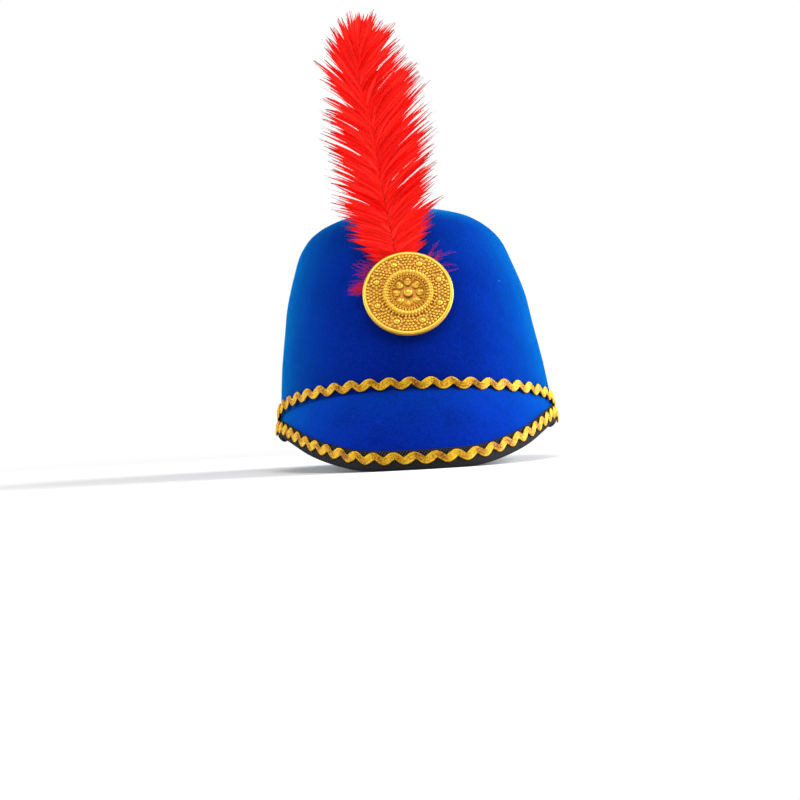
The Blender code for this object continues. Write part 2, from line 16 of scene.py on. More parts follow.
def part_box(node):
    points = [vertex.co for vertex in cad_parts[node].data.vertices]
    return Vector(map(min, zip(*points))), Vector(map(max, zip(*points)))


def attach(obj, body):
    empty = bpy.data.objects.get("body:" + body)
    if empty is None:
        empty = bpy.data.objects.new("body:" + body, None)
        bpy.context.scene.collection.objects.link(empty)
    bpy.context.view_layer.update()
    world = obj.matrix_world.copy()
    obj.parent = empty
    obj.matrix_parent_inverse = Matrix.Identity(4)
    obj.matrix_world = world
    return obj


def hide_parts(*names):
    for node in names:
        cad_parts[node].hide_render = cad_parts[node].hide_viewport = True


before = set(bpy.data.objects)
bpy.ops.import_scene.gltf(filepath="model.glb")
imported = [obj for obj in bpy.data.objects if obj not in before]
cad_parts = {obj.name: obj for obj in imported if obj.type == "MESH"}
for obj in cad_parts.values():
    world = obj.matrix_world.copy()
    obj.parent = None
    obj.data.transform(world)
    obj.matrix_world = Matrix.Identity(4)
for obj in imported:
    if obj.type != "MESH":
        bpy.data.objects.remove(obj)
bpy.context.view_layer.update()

BODY = "root"

# The hat's driving sizes, as in the part's source
CROWN_HALF_WIDTH = 0.0835
CROWN_HALF_LENGTH = 0.100
CROWN_HEIGHT = 0.1293
CROWN_FELT = 0.0023
RIM_RISE = 0.0055
PEAK_LENGTH = 0.057
PEAK_FELT = 0.0025
PEAK_ARCH = 0.0034
PEAK_FRONT_SLOPE = radians(65)
PEAK_SIDE_SLOPE = radians(81)
PEAK_END_ANGLE = radians(96)
TAPE = 0.0008
BAND_FRONT_HEIGHT = 0.0034
BAND_BACK_HEIGHT = 0.0080
BAND_BACK_LIFT = 0.0016
BAND_FRONT_DROP = 0.0002
BAND_LEAST_LIFT = 0.0006
BAND_WIDENS = (radians(84), radians(104))
BINDING_WIDTH = 0.0098
BINDING_UNDER = 0.0100
BINDING_LEAST = 0.0009
BRAID_WAVE = 0.012
BRAID_SWING = 0.0015
BRAID_WIDTH = 0.0048
SEAM_BRAID_LIFT = 0.0052
SEAM_BRAID_DIP = 0.0036
SEAM_BRAID_DIP_ANGLE = radians(30)
SEAM_BRAID_DIP_WIDTH = radians(55)
BRAID_THICKNESS = 0.0011
SEAM_BRAID_END_ANGLE = radians(93)
PEAK_BRAID_END_ANGLE = radians(90)
PEAK_BRAID_INSET = 0.0054
PEAK_BRAID_DIP = 0.0012
PEAK_BRAID_DIP_WIDTH = radians(25)
PEAK_BRAID_LEAST = 0.0046
BADGE_RADIUS = 0.0265
BADGE_THICKNESS = 0.0036
BADGE_HEIGHT = 0.0568
BADGE_SIDE = -0.0019
BADGE_SEAT_RADIUS = 0.006
BADGE_DENT = 0.0028
BADGE_DENT_SPREAD = 1.1
PLUME_LENGTH = 0.141
QUILL_RADIUS = 0.0010
QUILL_TIP_RADIUS = 0.0006
CLEARANCE = 0.0003
SETTLE = 0.0010

# Each row: height, then left and right half-widths, front and back half-lengths, all as shares.
CROWN_SHAPE = (
    (0.000, 1.000, 0.995, 1.000, 1.000),
    (0.074, 0.998, 0.988, 0.993, 0.996),
    (0.154, 0.993, 0.976, 0.984, 0.991),
    (0.309, 0.977, 0.938, 0.964, 0.977),
    (0.464, 0.945, 0.893, 0.940, 0.958),
    (0.619, 0.911, 0.846, 0.907, 0.930),
    (0.777, 0.846, 0.762, 0.826, 0.850),
    (0.862, 0.796, 0.704, 0.768, 0.796),
    (0.919, 0.726, 0.616, 0.672, 0.702),
    (0.955, 0.606, 0.500, 0.535, 0.566),
    (0.980, 0.440, 0.360, 0.382, 0.400),
    (0.994, 0.250, 0.205, 0.218, 0.228),
    (1.000, 0.000, 0.000, 0.000, 0.000),
)

# Each row: angle from the front in degrees, share of the peak's length there.
PEAK_SHAPE = (
    (0.0, 1.000), (12.0, 0.973), (20.0, 0.915), (28.0, 0.815), (36.0, 0.705),
    (45.0, 0.575), (55.0, 0.430), (67.0, 0.285), (80.0, 0.175), (96.0, 0.110),
)

# Each row: share of the plume's length, sideways and forward shift of the quill, left and right reach.
PLUME_SHAPE = (
    (0.00, -0.040, 0.000, 0.130, 0.090),
    (0.10, -0.056, -0.006, 0.172, 0.150),
    (0.25, -0.078, -0.004, 0.205, 0.195),
    (0.40, -0.096, 0.006, 0.212, 0.238),
    (0.55, -0.112, 0.024, 0.198, 0.252),
    (0.70, -0.146, 0.050, 0.170, 0.245),
    (0.82, -0.154, 0.078, 0.160, 0.212),
    (0.92, -0.140, 0.108, 0.115, 0.135),
    (1.00, -0.124, 0.135, 0.030, 0.020),
)


def read_table(table, at):
    """The columns after the first, read smoothly between a table's rows."""
    last = len(table) - 1
    row = next((i for i in range(1, last) if at < table[i][0]), last)
    before, low, high, after = (table[min(max(i, 0), last)] for i in range(row - 2, row + 2))
    span = high[0] - low[0]
    share = kept((at - low[0]) / span)
    found = []
    for column in range(1, len(low)):
        rise_low = (high[column] - before[column]) / (high[0] - before[0]) * span
        rise_high = (after[column] - low[column]) / (after[0] - low[0]) * span
        found.append(
            low[column] * (1 + 2 * share) * (1 - share) ** 2
            + rise_low * share * (1 - share) ** 2
            + high[column] * share**2 * (3 - 2 * share)
            - rise_high * share**2 * (1 - share)
        )
    return found


def spread(first, last, count):
    return [first + (last - first) * i / (count - 1) for i in range(count)]


def between(low, high, share):
    return low + (high - low) * share


def kept(value, low=0.0, high=1.0):
    """The value, kept between two bounds."""
    return min(max(value, low), high)


def even_steps(steps, values, count):
    """The values at even steps along a line, from those at its own steps."""
    reached = np.concatenate([[0.0], np.cumsum(steps)])
    return np.interp(np.linspace(0, reached[-1], count + 1), reached, values)


# Shapes of the hat in its own frame

def rim_height(angle):
    return RIM_RISE * sin(angle) ** 2


def badge_dent(sideways, height):
    """How far the felt is pressed in behind the badge."""
    distance = hypot(sideways - BADGE_SIDE, height - BADGE_HEIGHT) / BADGE_RADIUS
    return BADGE_DENT * exp(-(distance**2) / BADGE_DENT_SPREAD)


def crown_shares(height_share):
    """The crown's widths and lengths at a height, rounded off at its top."""
    ring = CROWN_SHAPE[-2]
    if height_share <= ring[0]:
        return read_table(CROWN_SHAPE, height_share)
    left = sqrt(max(1 - height_share, 0) / (1 - ring[0]))
    return [share * left for share in ring[1:]]


def way_out(angle, half_width, half_length):
    """The level way out of an oval, square to its edge."""
    return Vector((sin(angle) * half_length, -cos(angle) * half_width, 0)).normalized()


def crown_point(angle, height, out=0.0):
    """A point of the crown's outer face, or one off it. The angle is 0 in front."""
    left, right, front, back = crown_shares(height / CROWN_HEIGHT)
    half_width = CROWN_HALF_WIDTH * (right if sin(angle) > 0 else left)
    half_length = CROWN_HALF_LENGTH * (front if cos(angle) > 0 else back)
    point = Vector((sin(angle) * half_width, -cos(angle) * half_length, height))
    point += way_out(angle, half_width, half_length) * out
    if cos(angle) > 0:
        point.y += badge_dent(point.x, height)
    return point


def peak_frame(angle):
    """The peak's start, its way down, its face's normal, and its length."""
    start = crown_point(angle, rim_height(angle))
    start.z -= CLEARANCE
    side = min(abs(sin(angle)), 1.0) ** 2 if abs(angle) < pi / 2 else 1.0
    slope = between(PEAK_FRONT_SLOPE, PEAK_SIDE_SLOPE, side)
    outward = way_out(angle, CROWN_HALF_WIDTH, CROWN_HALF_LENGTH)
    up = Vector((0, 0, 1))
    along = outward * cos(slope) - up * sin(slope)
    normal = outward * sin(slope) + up * cos(slope)
    length = PEAK_LENGTH * read_table(PEAK_SHAPE, degrees(abs(angle)))[0]
    return start, along, normal, length


def peak_point(angle, distance, depth):
    """A point a distance down the peak, and a depth under its outer face."""
    start, along, normal, length = peak_frame(angle)
    share = distance / length
    arch = PEAK_ARCH * (length / PEAK_LENGTH) * 4 * share * (1 - share)
    return start + along * distance + normal * (arch - depth)


def under_rim(angle, depth):
    """Where a layer of the peak meets the level of the rim."""
    start, along, normal, _ = peak_frame(angle)
    return start + along * (depth * normal.z / along.z) - normal * depth


def leaned():
    """The turn and lift that set the hat down on its peak's edge and rim."""
    wrap = TAPE + CLEARANCE
    front = peak_point(0, PEAK_LENGTH + wrap, PEAK_FELT)
    back = crown_point(pi, 0)
    tilt = atan2(back.z - front.z, back.y - front.y)
    turn = Matrix.Rotation(-tilt, 4, "X")
    return Matrix.Translation((0, 0, -(turn @ back).z - SETTLE)) @ turn


def place_on_floor():
    """The lean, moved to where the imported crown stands."""
    lean = leaned()
    heights = [row[0] * CROWN_HEIGHT for row in CROWN_SHAPE[1:-1]]
    back = max((lean @ crown_point(pi, height)).y for height in heights)
    side = max(crown_point(pi / 2, height).x for height in [RIM_RISE] + heights)
    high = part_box("crown")[1]
    return Matrix.Translation((high.x - side, high.y - back, 0)) @ lean


HAT = place_on_floor()
FLOOR_UP = HAT.to_3x3().inverted() @ Vector((0, 0, 1))
FLOOR_FORWARD = HAT.to_3x3().inverted() @ Vector((0, -1, 0))


def pressed(point, layer=0.0):
    """A point kept a layer above the floor, where felt and tape lie flat."""
    return point + FLOOR_UP * max(layer - (HAT @ point).z, 0.0)


# Making and finishing meshes

SAME_SPOT = 0.00001


def mapped_grid(along, across, place, size):
    """A grid whose corners a function places, from a share along it and a row."""
    bm = bmesh.new()
    bmesh.ops.create_grid(bm, x_segments=along, y_segments=across, size=0.5)
    uv = bm.loops.layers.uv.new("UVMap")
    for face in bm.faces:
        for loop in face.loops:
            spot = loop.vert.co
            loop[uv].uv = ((spot.x + 0.5) * size[0], (spot.y + 0.5) * size[1])
    for vert in bm.verts:
        step, row = round((vert.co.x + 0.5) * along), round((vert.co.y + 0.5) * across)
        vert.co = place(step / along, row)
    return bm


def close_up(bm, distance=SAME_SPOT):
    """Merges a seam or a pole and turns the faces outwards."""
    bmesh.ops.remove_doubles(bm, verts=bm.verts, dist=distance)
    bmesh.ops.dissolve_degenerate(bm, edges=bm.edges, dist=distance / 10)
    bmesh.ops.recalc_face_normals(bm, faces=bm.faces)


def cap_ends(bm, distance=SAME_SPOT):
    """Merges a strip's seam, caps its ends and turns the faces outwards."""
    bmesh.ops.remove_doubles(bm, verts=bm.verts, dist=distance)
    rims = [edge for edge in bm.edges if edge.is_boundary]
    bmesh.ops.holes_fill(bm, edges=rims, sides=0)
    bmesh.ops.recalc_face_normals(bm, faces=bm.faces)


def new_mesh(bm):
    """A mesh from a bmesh, which is freed."""
    mesh = bpy.data.meshes.new("shape")
    bm.to_mesh(mesh)
    bm.free()
    return mesh


def new_object(name, data):
    obj = bpy.data.objects.new(name, data)
    bpy.context.scene.collection.objects.link(obj)
    return obj


def add_piece(name, mesh, finish, place=HAT):
    """A mesh leaned over with the hat, as an object that rides with it."""
    mesh.name = name
    mesh.transform(place)
    mesh.shade_smooth()
    mesh.materials.append(finish)
    obj = new_object(name, mesh)
    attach(obj, BODY)
    return obj


# Materials

def operator(operation, swapped=False):
    """A method of Number that adds a Math node for a sign."""
    return lambda self, other: self.math(operation, *((other, self) if swapped else (self, other)))


class Number:
    """A number that a material works out. Sums and products of it add their Math nodes."""

    __add__ = operator("ADD")
    __sub__ = operator("SUBTRACT")
    __rsub__ = operator("SUBTRACT", swapped=True)
    __mul__ = operator("MULTIPLY")
    __gt__ = operator("GREATER_THAN")
    __lt__ = operator("LESS_THAN")

    def __init__(self, finish, socket):
        self.finish = finish
        self.socket = socket

    def math(self, operation, *inputs):
        node = self.finish.tree.nodes.new("ShaderNodeMath")
        node.operation = operation
        for socket, value in zip(node.inputs, inputs):
            self.finish.feed(socket, value)
        return Number(self.finish, node.outputs[0])

    def sine(self):
        return self.math("SINE", self)

    def root(self):
        return self.math("POWER", self, 0.5)

    def held(self):
        """The number kept between 0 and 1."""
        return self.math("MINIMUM", self.math("MAXIMUM", self, 0.0), 1.0)


class Finish:
    """A material and the one way in which its nodes are made."""

    def __init__(self, name, **settings):
        self.material = bpy.data.materials.new(name)
        self.material.use_nodes = True
        self.tree = self.material.node_tree
        self.shader = self.tree.nodes["Principled BSDF"]
        for socket, value in settings.items():
            self.set(socket.replace("_", " ").title().replace("Ior", "IOR"), value)

    def set(self, socket, value):
        """Sets or links a socket of the shader, such as its Base Color."""
        self.feed(self.shader.inputs[socket], value)

    def feed(self, socket, value):
        if isinstance(value, Number):
            value = value.socket
        if isinstance(value, bpy.types.NodeSocket):
            self.tree.links.new(value, socket)
        elif socket.type == "RGBA":
            socket.default_value = (*value, 1.0)
        else:
            socket.default_value = value

    def node(self, kind, settings=None, **sockets):
        """Adds a node, with settings and with values or links for its sockets."""
        node = self.tree.nodes.new("ShaderNode" + kind)
        for name, value in (settings or {}).items():
            setattr(node, name, value)
        for name, value in sockets.items():
            self.feed(next(s for s in node.inputs if s.enabled and s.name == name), value)
        return node

    def place(self):
        return self.node("TexCoord").outputs["Object"]

    def noise(self, scale, detail=2.0, distortion=0.0):
        """Cloudy noise from 0 to 1, its scale in lumps a metre."""
        shape = {"Scale": scale, "Detail": detail, "Distortion": distortion}
        return Number(self, self.node("TexNoise", Vector=self.place(), **shape).outputs["Fac"])

    def parts(self, vector):
        """The first two parts of a vector, such as a place or a UV."""
        parts = self.node("SeparateXYZ", Vector=vector)
        return Number(self, parts.outputs["X"]), Number(self, parts.outputs["Y"])

    def attribute(self, name):
        return Number(self, self.node("Attribute", {"attribute_name": name}).outputs["Fac"])

    def mix(self, share, first, second):
        node = self.node("Mix", {"data_type": "RGBA"}, Factor=share, A=first, B=second)
        return next(s for s in node.outputs if s.enabled)

    def ramp(self, share, stops):
        """A colour from stops, which are pairs of a share and a colour."""
        node = self.node("ValToRGB", Fac=share)
        elements = node.color_ramp.elements
        while len(elements) < len(stops):
            elements.new(1.0)
        for element, (at, colour) in zip(elements, stops):
            element.position = at
            element.color = (*colour, 1.0)
        return node.outputs["Color"]

    def bump(self, height, distance, strength):
        node = self.node("Bump", Height=height, Distance=distance, Strength=strength)
        self.set("Normal", node.outputs["Normal"])


FELT_DARK = (0.0009, 0.0058, 0.115)
FELT_LIGHT = (0.0016, 0.0150, 0.265)
FELT_SHEEN = (0.004, 0.46, 1.0)
FELT_SWIRLS = 560
FELT_GRAINS = 1500
FELT_CLOUDS = 45
FELT_FIBRES = 2600
FELT_NAP = 0.00022
# The peak's felt is a lighter copy of the crown's: painted light, for a face that turns more to the
# lamps.
PEAK_PAINTED_LIGHT = 1.32
LINT = (0.35, 0.45, 0.75)
LINT_CELLS = 75
LINT_SIZE = 0.022
LINT_RARE = 0.72
LINT_SHOWS = 0.7


def blue_felt(name, painted_lift=1.0):
    """Pressed felt: mottled, fuzzy at grazing angles, with a few specks of lint. A factor above one
    lightens its colours as painted light.
    """
    finish = Finish(
        name,
        roughness=0.95,
        specular_ior_level=0.0,
        sheen_weight=0.75,
        sheen_roughness=0.38,
        sheen_tint=FELT_SHEEN,
    )
    swirl = finish.noise(FELT_SWIRLS, detail=4.0, distortion=1.6)
    grain = finish.noise(FELT_GRAINS, detail=3.0, distortion=0.8)
    cloud = finish.noise(FELT_CLOUDS)
    tone = (swirl * 1.6 + grain * 0.9 + cloud * 0.7 - 1.10).held()
    dark, light = (tuple(painted_lift * part for part in shade) for shade in (FELT_DARK, FELT_LIGHT))
    colour = finish.mix(tone, dark, light)
    cells = finish.node("TexVoronoi", Vector=finish.place(), Scale=LINT_CELLS)
    near = Number(finish, cells.outputs["Distance"]) < LINT_SIZE
    hue = finish.node("SeparateColor", Color=cells.outputs["Color"])
    few = Number(finish, hue.outputs["Red"]) > LINT_RARE
    finish.set("Base Color", finish.mix(near * few * LINT_SHOWS, colour, LINT))
    fibres = finish.noise(FELT_FIBRES, detail=3.0, distortion=2.2)
    finish.bump(fibres * 0.6 + swirl * 0.6, FELT_NAP, 0.75)
    return finish.material


TAPE_DARK = (0.0012, 0.0012, 0.0015)
TAPE_LIGHT = (0.085, 0.085, 0.094)
TAPE_CORD = 0.0019
TAPE_LINT = 900
TAPE_RELIEF = 0.00025


def black_tape():
    """Black twill tape: floats of thread in slanted rows."""
    finish = Finish("black_tape", roughness=0.9, specular_ior_level=0.06)
    along, across = finish.parts(finish.node("UVMap").outputs["UV"])
    turn = 2 * pi / TAPE_CORD
    warp = ((along + across * 0.8) * turn).sine()
    weft = ((along - across * 1.1) * turn).sine()
    weave = (warp * 0.5 + 0.5) * (weft * 0.5 + 0.5)
    lint = finish.noise(TAPE_LINT)
    tone = (weave * 1.5 + lint * 0.3 - 0.42).held()
    finish.set("Base Color", finish.mix(tone, TAPE_DARK, TAPE_LIGHT))
    finish.bump(weave + lint * 0.2, TAPE_RELIEF, 0.9)
    return finish.material


# Painted shade: the braid's outer edges and underside are turned near black.
BRAID_SHADE = (0.004, 0.003, 0.002)
BRAID_COLOURS = (
    (0.00, (0.12, 0.030, 0.001)),
    (0.25, (0.36, 0.130, 0.002)),
    (0.62, (0.66, 0.37, 0.003)),
    (1.00, (0.80, 0.52, 0.030)),
)
BRAID_FLECKS = 1500
BRAID_PATCHES = 160


def gold_braid():
    """Gold thread with painted light and shade: lighter on crests and on slants that face the light,
    painted shade in the grooves, at its edges and underneath.
    """
    finish = Finish("gold_braid", roughness=0.6, specular_ior_level=0.15)
    ridge_painted_light, slant, edge_shade = (finish.attribute(name) for name in BRAID_TONES)
    fleck = finish.noise(BRAID_FLECKS, distortion=1.2)
    patch = finish.noise(BRAID_PATCHES, detail=1.0)
    # Crest and slant tones are painted light: crests and the slants facing the light come out lighter,
    # grooves darker.
    tone = (ridge_painted_light * 0.50 + slant * 0.42 + fleck * 3.0 + patch * 0.8 - 1.96).held()
    finish.set("Base Color", finish.mix(edge_shade, finish.ramp(tone, BRAID_COLOURS), BRAID_SHADE))
    finish.bump(fleck, 0.00012, 0.6)
    return finish.material


GOLD_COLOURS = ((0.0, (0.30, 0.100, 0.002)), (0.55, (0.70, 0.34, 0.018)), (1.0, (0.88, 0.52, 0.060)))
GOLD_WORN = 700
GOLD_PITS = 2400


def gold_casting():
    """A gold-coated casting with painted shade and highlight: brown in the hollows, pale on its raised
    parts, with worn patches at random.
    """
    finish = Finish("gold_casting", metallic=0.55)
    relief_shading = finish.attribute("relief_shading")
    worn = finish.noise(GOLD_WORN, detail=3.0)
    # Painted shade in the hollows and painted highlight on raised parts, varied by worn patches.
    tone = (relief_shading * 1.05 + worn * 0.22 - 0.06).held()
    finish.set("Base Color", finish.ramp(tone, GOLD_COLOURS))
    finish.set("Roughness", (0.42 - tone * 0.16 + worn * 0.06).held())
    finish.bump(finish.noise(GOLD_PITS), 0.00006, 0.5)
    return finish.material


FEATHER_RED = (0.95, 0.028, 0.018)
FEATHER_DEEP = (0.76, 0.001, 0.001)
# Painted shade: barbs darken to this colour at their tips.
FEATHER_TIP_SHADE = (0.20, 0.003, 0.006)
# Painted light: the barbs glow weakly in their own colour, for light that passes through them.
FEATHER_PAINTED_GLOW = 0.25


def red_feather():
    """Dyed ostrich barbs: clear red and deeper red at random, painted shade at their tips, and a weak
    painted glow.
    """
    finish = Finish("red_feather", roughness=0.7, specular_ior_level=0.08)
    finish.set("Emission Strength", FEATHER_PAINTED_GLOW)
    strand = finish.mix(finish.attribute("tone").held(), FEATHER_DEEP, FEATHER_RED)
    colour = finish.mix(finish.attribute("tip").held(), strand, FEATHER_TIP_SHADE)
    finish.set("Base Color", colour)
    finish.set("Emission Color", colour)
    return finish.material


QUILL_DARK = (0.16, 0.003, 0.003)
QUILL_RED = (0.40, 0.006, 0.004)
QUILL_STREAKS = 800


def red_quill():
    """A dark red quill that takes the barbs' colour where they cover it."""
    finish = Finish("red_quill", roughness=0.6, specular_ior_level=0.2)
    bare = finish.mix(finish.noise(QUILL_STREAKS), QUILL_DARK, QUILL_RED)
    finish.set("Base Color", finish.mix(finish.attribute("tone"), bare, FEATHER_RED))
    return finish.material


# Felt

CROWN_AROUND = 192
CROWN_UP = 62
CROWN_SAMPLES = 800
CROWN_MERGE = 0.00004
CROWN_MAP = (0.578, 0.20)
FELT_LUMP = (0.00030, 38)
FELT_DIMPLE = (0.00012, 130)
PEAK_LUMPS = 0.6
PEAK_LUMPS_AT = Vector((0.3, 0, 0))


def crown_heights(count):
    """Heights an even step apart along the crown's profile, rim to top."""
    radius = (CROWN_HALF_WIDTH + CROWN_HALF_LENGTH) / 2
    fine = [sin(turn) for turn in spread(0.0, pi / 2, CROWN_SAMPLES + 1)]
    spots = [(radius * sum(crown_shares(h)) / 4, h * CROWN_HEIGHT) for h in fine]
    steps = [dist(a, b) for a, b in zip(spots, spots[1:])]
    return even_steps(steps, fine, count) * CROWN_HEIGHT


def lump(point):
    """The small unevenness of moulded felt."""
    return sum(height * noise.noise(point * many) for height, many in (FELT_LUMP, FELT_DIMPLE))


def make_crown(finish):
    """The felt dome, with its wall, a soft rim and small lumps."""
    heights = crown_heights(CROWN_UP)

    def place(share, row):
        angle = 2 * pi * share
        return crown_point(angle, heights[row] + rim_height(angle) * (1 - row / CROWN_UP) ** 6)

    bm = mapped_grid(CROWN_AROUND, CROWN_UP, place, CROWN_MAP)
    close_up(bm, CROWN_MERGE)
    for vert in bm.verts:
        vert.co += vert.normal * lump(vert.co)
    bmesh.ops.solidify(bm, geom=bm.faces, thickness=CROWN_FELT)
    for vert in bm.verts:
        vert.co = pressed(vert.co)
    return add_piece("crown_felt", new_mesh(bm), finish)


PEAK_ALONG = 200
PEAK_MAP = (0.40, 0.12)
PEAK_ROWS = (26, 6, 14)
PEAK_SHARP = radians(50)


def fold(length, off, top, under, rows):
    """Distance down the peak and depth under its face, from the top round the edge to the underside."""
    radius = PEAK_FELT / 2
    edge, reach = length - radius, radius + off
    outer, bend, inner = rows
    stations = [(between(top, edge, i / outer), -off) for i in range(outer + 1)]
    turns = [pi * i / bend for i in range(1, bend)]
    stations += [(edge + reach * sin(t), radius - reach * cos(t)) for t in turns]
    stations += [(between(edge, under, i / inner), PEAK_FELT + off) for i in range(inner + 1)]
    return stations


def peak_fold(length):
    """The peak's own face, from the rim round its edge and back to the rim."""
    return fold(length, 0.0, 0.0, 0.0, PEAK_ROWS)


def make_peak(finish):
    """The felt peak, its top edge cut level under the rim."""
    rows = len(peak_fold(PEAK_LENGTH))

    def place(share, row):
        angle = between(-PEAK_END_ANGLE, PEAK_END_ANGLE, share)
        distance, depth = peak_fold(peak_frame(angle)[3])[row % rows]
        point = peak_point(angle, distance, depth) if distance > 0 else under_rim(angle, depth)
        return pressed(point, TAPE + CLEARANCE)

    bm = mapped_grid(PEAK_ALONG, rows, place, PEAK_MAP)
    cap_ends(bm)
    for vert in bm.verts:
        vert.co += vert.normal * lump(vert.co + PEAK_LUMPS_AT) * PEAK_LUMPS
    obj = add_piece("peak_felt", new_mesh(bm), finish)
    obj.data.set_sharp_from_angle(angle=PEAK_SHARP)
    return obj


# Tapes

BAND_ALONG = 288
BAND_MAP = (0.56, 0.018)
BINDING_ALONG = 260
BINDING_MAP = (0.40, 0.048)
BINDING_ROWS = (6, 8, 5)

# Round a tape's section: share of its width, share of its thickness.
TAPE_SECTION = (
    (0.0, 0.0), (0.0, 0.55), (0.03, 1.0), (0.25, 1.0), (0.5, 1.0),
    (0.75, 1.0), (0.97, 1.0), (1.0, 0.55), (1.0, 0.0), (0.5, 0.0),
)


def seam_lift(angle):
    """The upper braid's height over the rim. It dips to the right of the front."""
    turned = (remainder(angle, 2 * pi) - SEAM_BRAID_DIP_ANGLE) / SEAM_BRAID_DIP_WIDTH
    return SEAM_BRAID_LIFT - SEAM_BRAID_DIP * exp(-turned * turned)


def band_edges(angle):
    """The band's lower and upper edge: narrow in front, a full tape at the back."""
    turned = abs(remainder(angle, 2 * pi))
    share = kept((turned - BAND_WIDENS[0]) / (BAND_WIDENS[1] - BAND_WIDENS[0]))
    share *= share * (3 - 2 * share)
    front_low = max(seam_lift(angle) - BAND_FRONT_DROP - BAND_FRONT_HEIGHT / 2, BAND_LEAST_LIFT)
    low = rim_height(angle) + between(front_low, BAND_BACK_LIFT, share)
    return low, low + between(BAND_FRONT_HEIGHT, BAND_BACK_HEIGHT, share)


def make_band(finish):
    """A tape sewn round the foot of the crown."""
    corners = len(TAPE_SECTION)

    def place(share, row):
        angle = 2 * pi * share
        across, out = TAPE_SECTION[row % corners]
        return crown_point(angle, between(*band_edges(angle), across), CLEARANCE + out * TAPE)

    bm = mapped_grid(BAND_ALONG, corners, place, BAND_MAP)
    close_up(bm)
    return add_piece("band_tape", new_mesh(bm), finish)


def binding_fold(length, off):
    """The binding's fold round the peak's edge, a distance off the felt."""
    top = max(length - BINDING_WIDTH, BINDING_LEAST)
    under = max(length - BINDING_UNDER, BINDING_LEAST + PEAK_FELT)
    return fold(length, off, top, under, BINDING_ROWS)


def make_binding(finish):
    """A tape folded over the peak's edge."""
    count = 2 * len(binding_fold(PEAK_LENGTH, 0.0))

    def place(share, row):
        angle = between(-PEAK_END_ANGLE, PEAK_END_ANGLE, share)
        index = row % count
        outer = index < count // 2
        stations = binding_fold(peak_frame(angle)[3], CLEARANCE + (TAPE if outer else 0.0))
        distance, depth = stations[index if outer else count - 1 - index]
        return pressed(peak_point(angle, distance, depth), 0.0 if outer else TAPE)

    bm = mapped_grid(BINDING_ALONG, count, place, BINDING_MAP)
    cap_ends(bm)
    return add_piece("binding_tape", new_mesh(bm), finish)


# Rickrack braid

BRAID_STEPS_A_WAVE = 64
BRAID_TOP_ROWS = 16
BRAID_UNDER_ROWS = (0.4, -0.4)
BRAID_EDGE = 0.15
BRAID_EDGE_RISE = 0.00022
BRAID_UNEVEN = 0.13
BRAID_MERGE = 0.000004
BRAID_MAP_WIDTH = 0.011
BRAID_TONES = ("ridge_painted_light", "slant", "edge_shade")
# Tones of the bare edge and underside rows, which take the painted edge shade.
BARE_TONES = (0.0, 0.5, 1.0)
LINE_SAMPLES = 600
THREAD_PITCH = 0.00075
THREAD_RISE = 0.00016
THREAD_LEAN = 1.15
CORD_AT = 0.80
CORD_SPREAD = 0.14
CORD_INSIDE = 0.72


def seam_line(angle, off, across):
    """A point over the crown band: off it, and across its middle."""
    height = rim_height(angle) + seam_lift(angle) + across
    return crown_point(angle, height, 2 * CLEARANCE + TAPE + off)


def edge_line(angle, off, across):
    """A point over the peak's binding: off it, and across its middle."""
    length = peak_frame(angle)[3]
    dip = PEAK_BRAID_DIP * exp(-((angle / PEAK_BRAID_DIP_WIDTH) ** 2))
    middle = max(length - PEAK_BRAID_INSET + dip, PEAK_BRAID_LEAST)
    return peak_point(angle, middle - across, -(2 * CLEARANCE + TAPE + off))


def line_angles(line, end_angle):
    """The angles at even steps along a line, its number of waves, its length."""
    fine = np.linspace(-end_angle, end_angle, LINE_SAMPLES)
    points = [line(angle, 0, 0) for angle in fine]
    steps = [(b - a).length for a, b in zip(points, points[1:])]
    length = sum(steps)
    waves = round(length / BRAID_WAVE)
    return even_steps(steps, fine, waves * BRAID_STEPS_A_WAVE), waves, length


def braid_relief(phase, across, run):
    """Height and tones of the plaited face: edge cords and slanting threads. The tones are painted
    light and shade: lighter crests and lit slants, shaded grooves and edges.
    """
    slant = cos(phase)
    if abs(across) == 1.0:
        return BRAID_EDGE * BRAID_THICKNESS, BARE_TONES
    dome = (1 - abs(across) ** 3.5) * 0.75
    edge = exp(-(((abs(across) - CORD_AT) / CORD_SPREAD) ** 2))
    lean = copysign(THREAD_LEAN, slant)
    thread = sin(2 * pi * (run + lean * across * BRAID_WIDTH / 2) / THREAD_PITCH)
    inside = max(1 - (abs(across) / CORD_INSIDE) ** 6, 0.0)
    height = BRAID_THICKNESS * (0.25 + dome) + BRAID_EDGE_RISE * edge + THREAD_RISE * thread * inside
    ridge_painted_light = 0.5 + 0.5 * (thread * inside + edge * 0.9 * (1 - inside))
    return height, (ridge_painted_light, 0.5 + 0.5 * slant, 0.0)


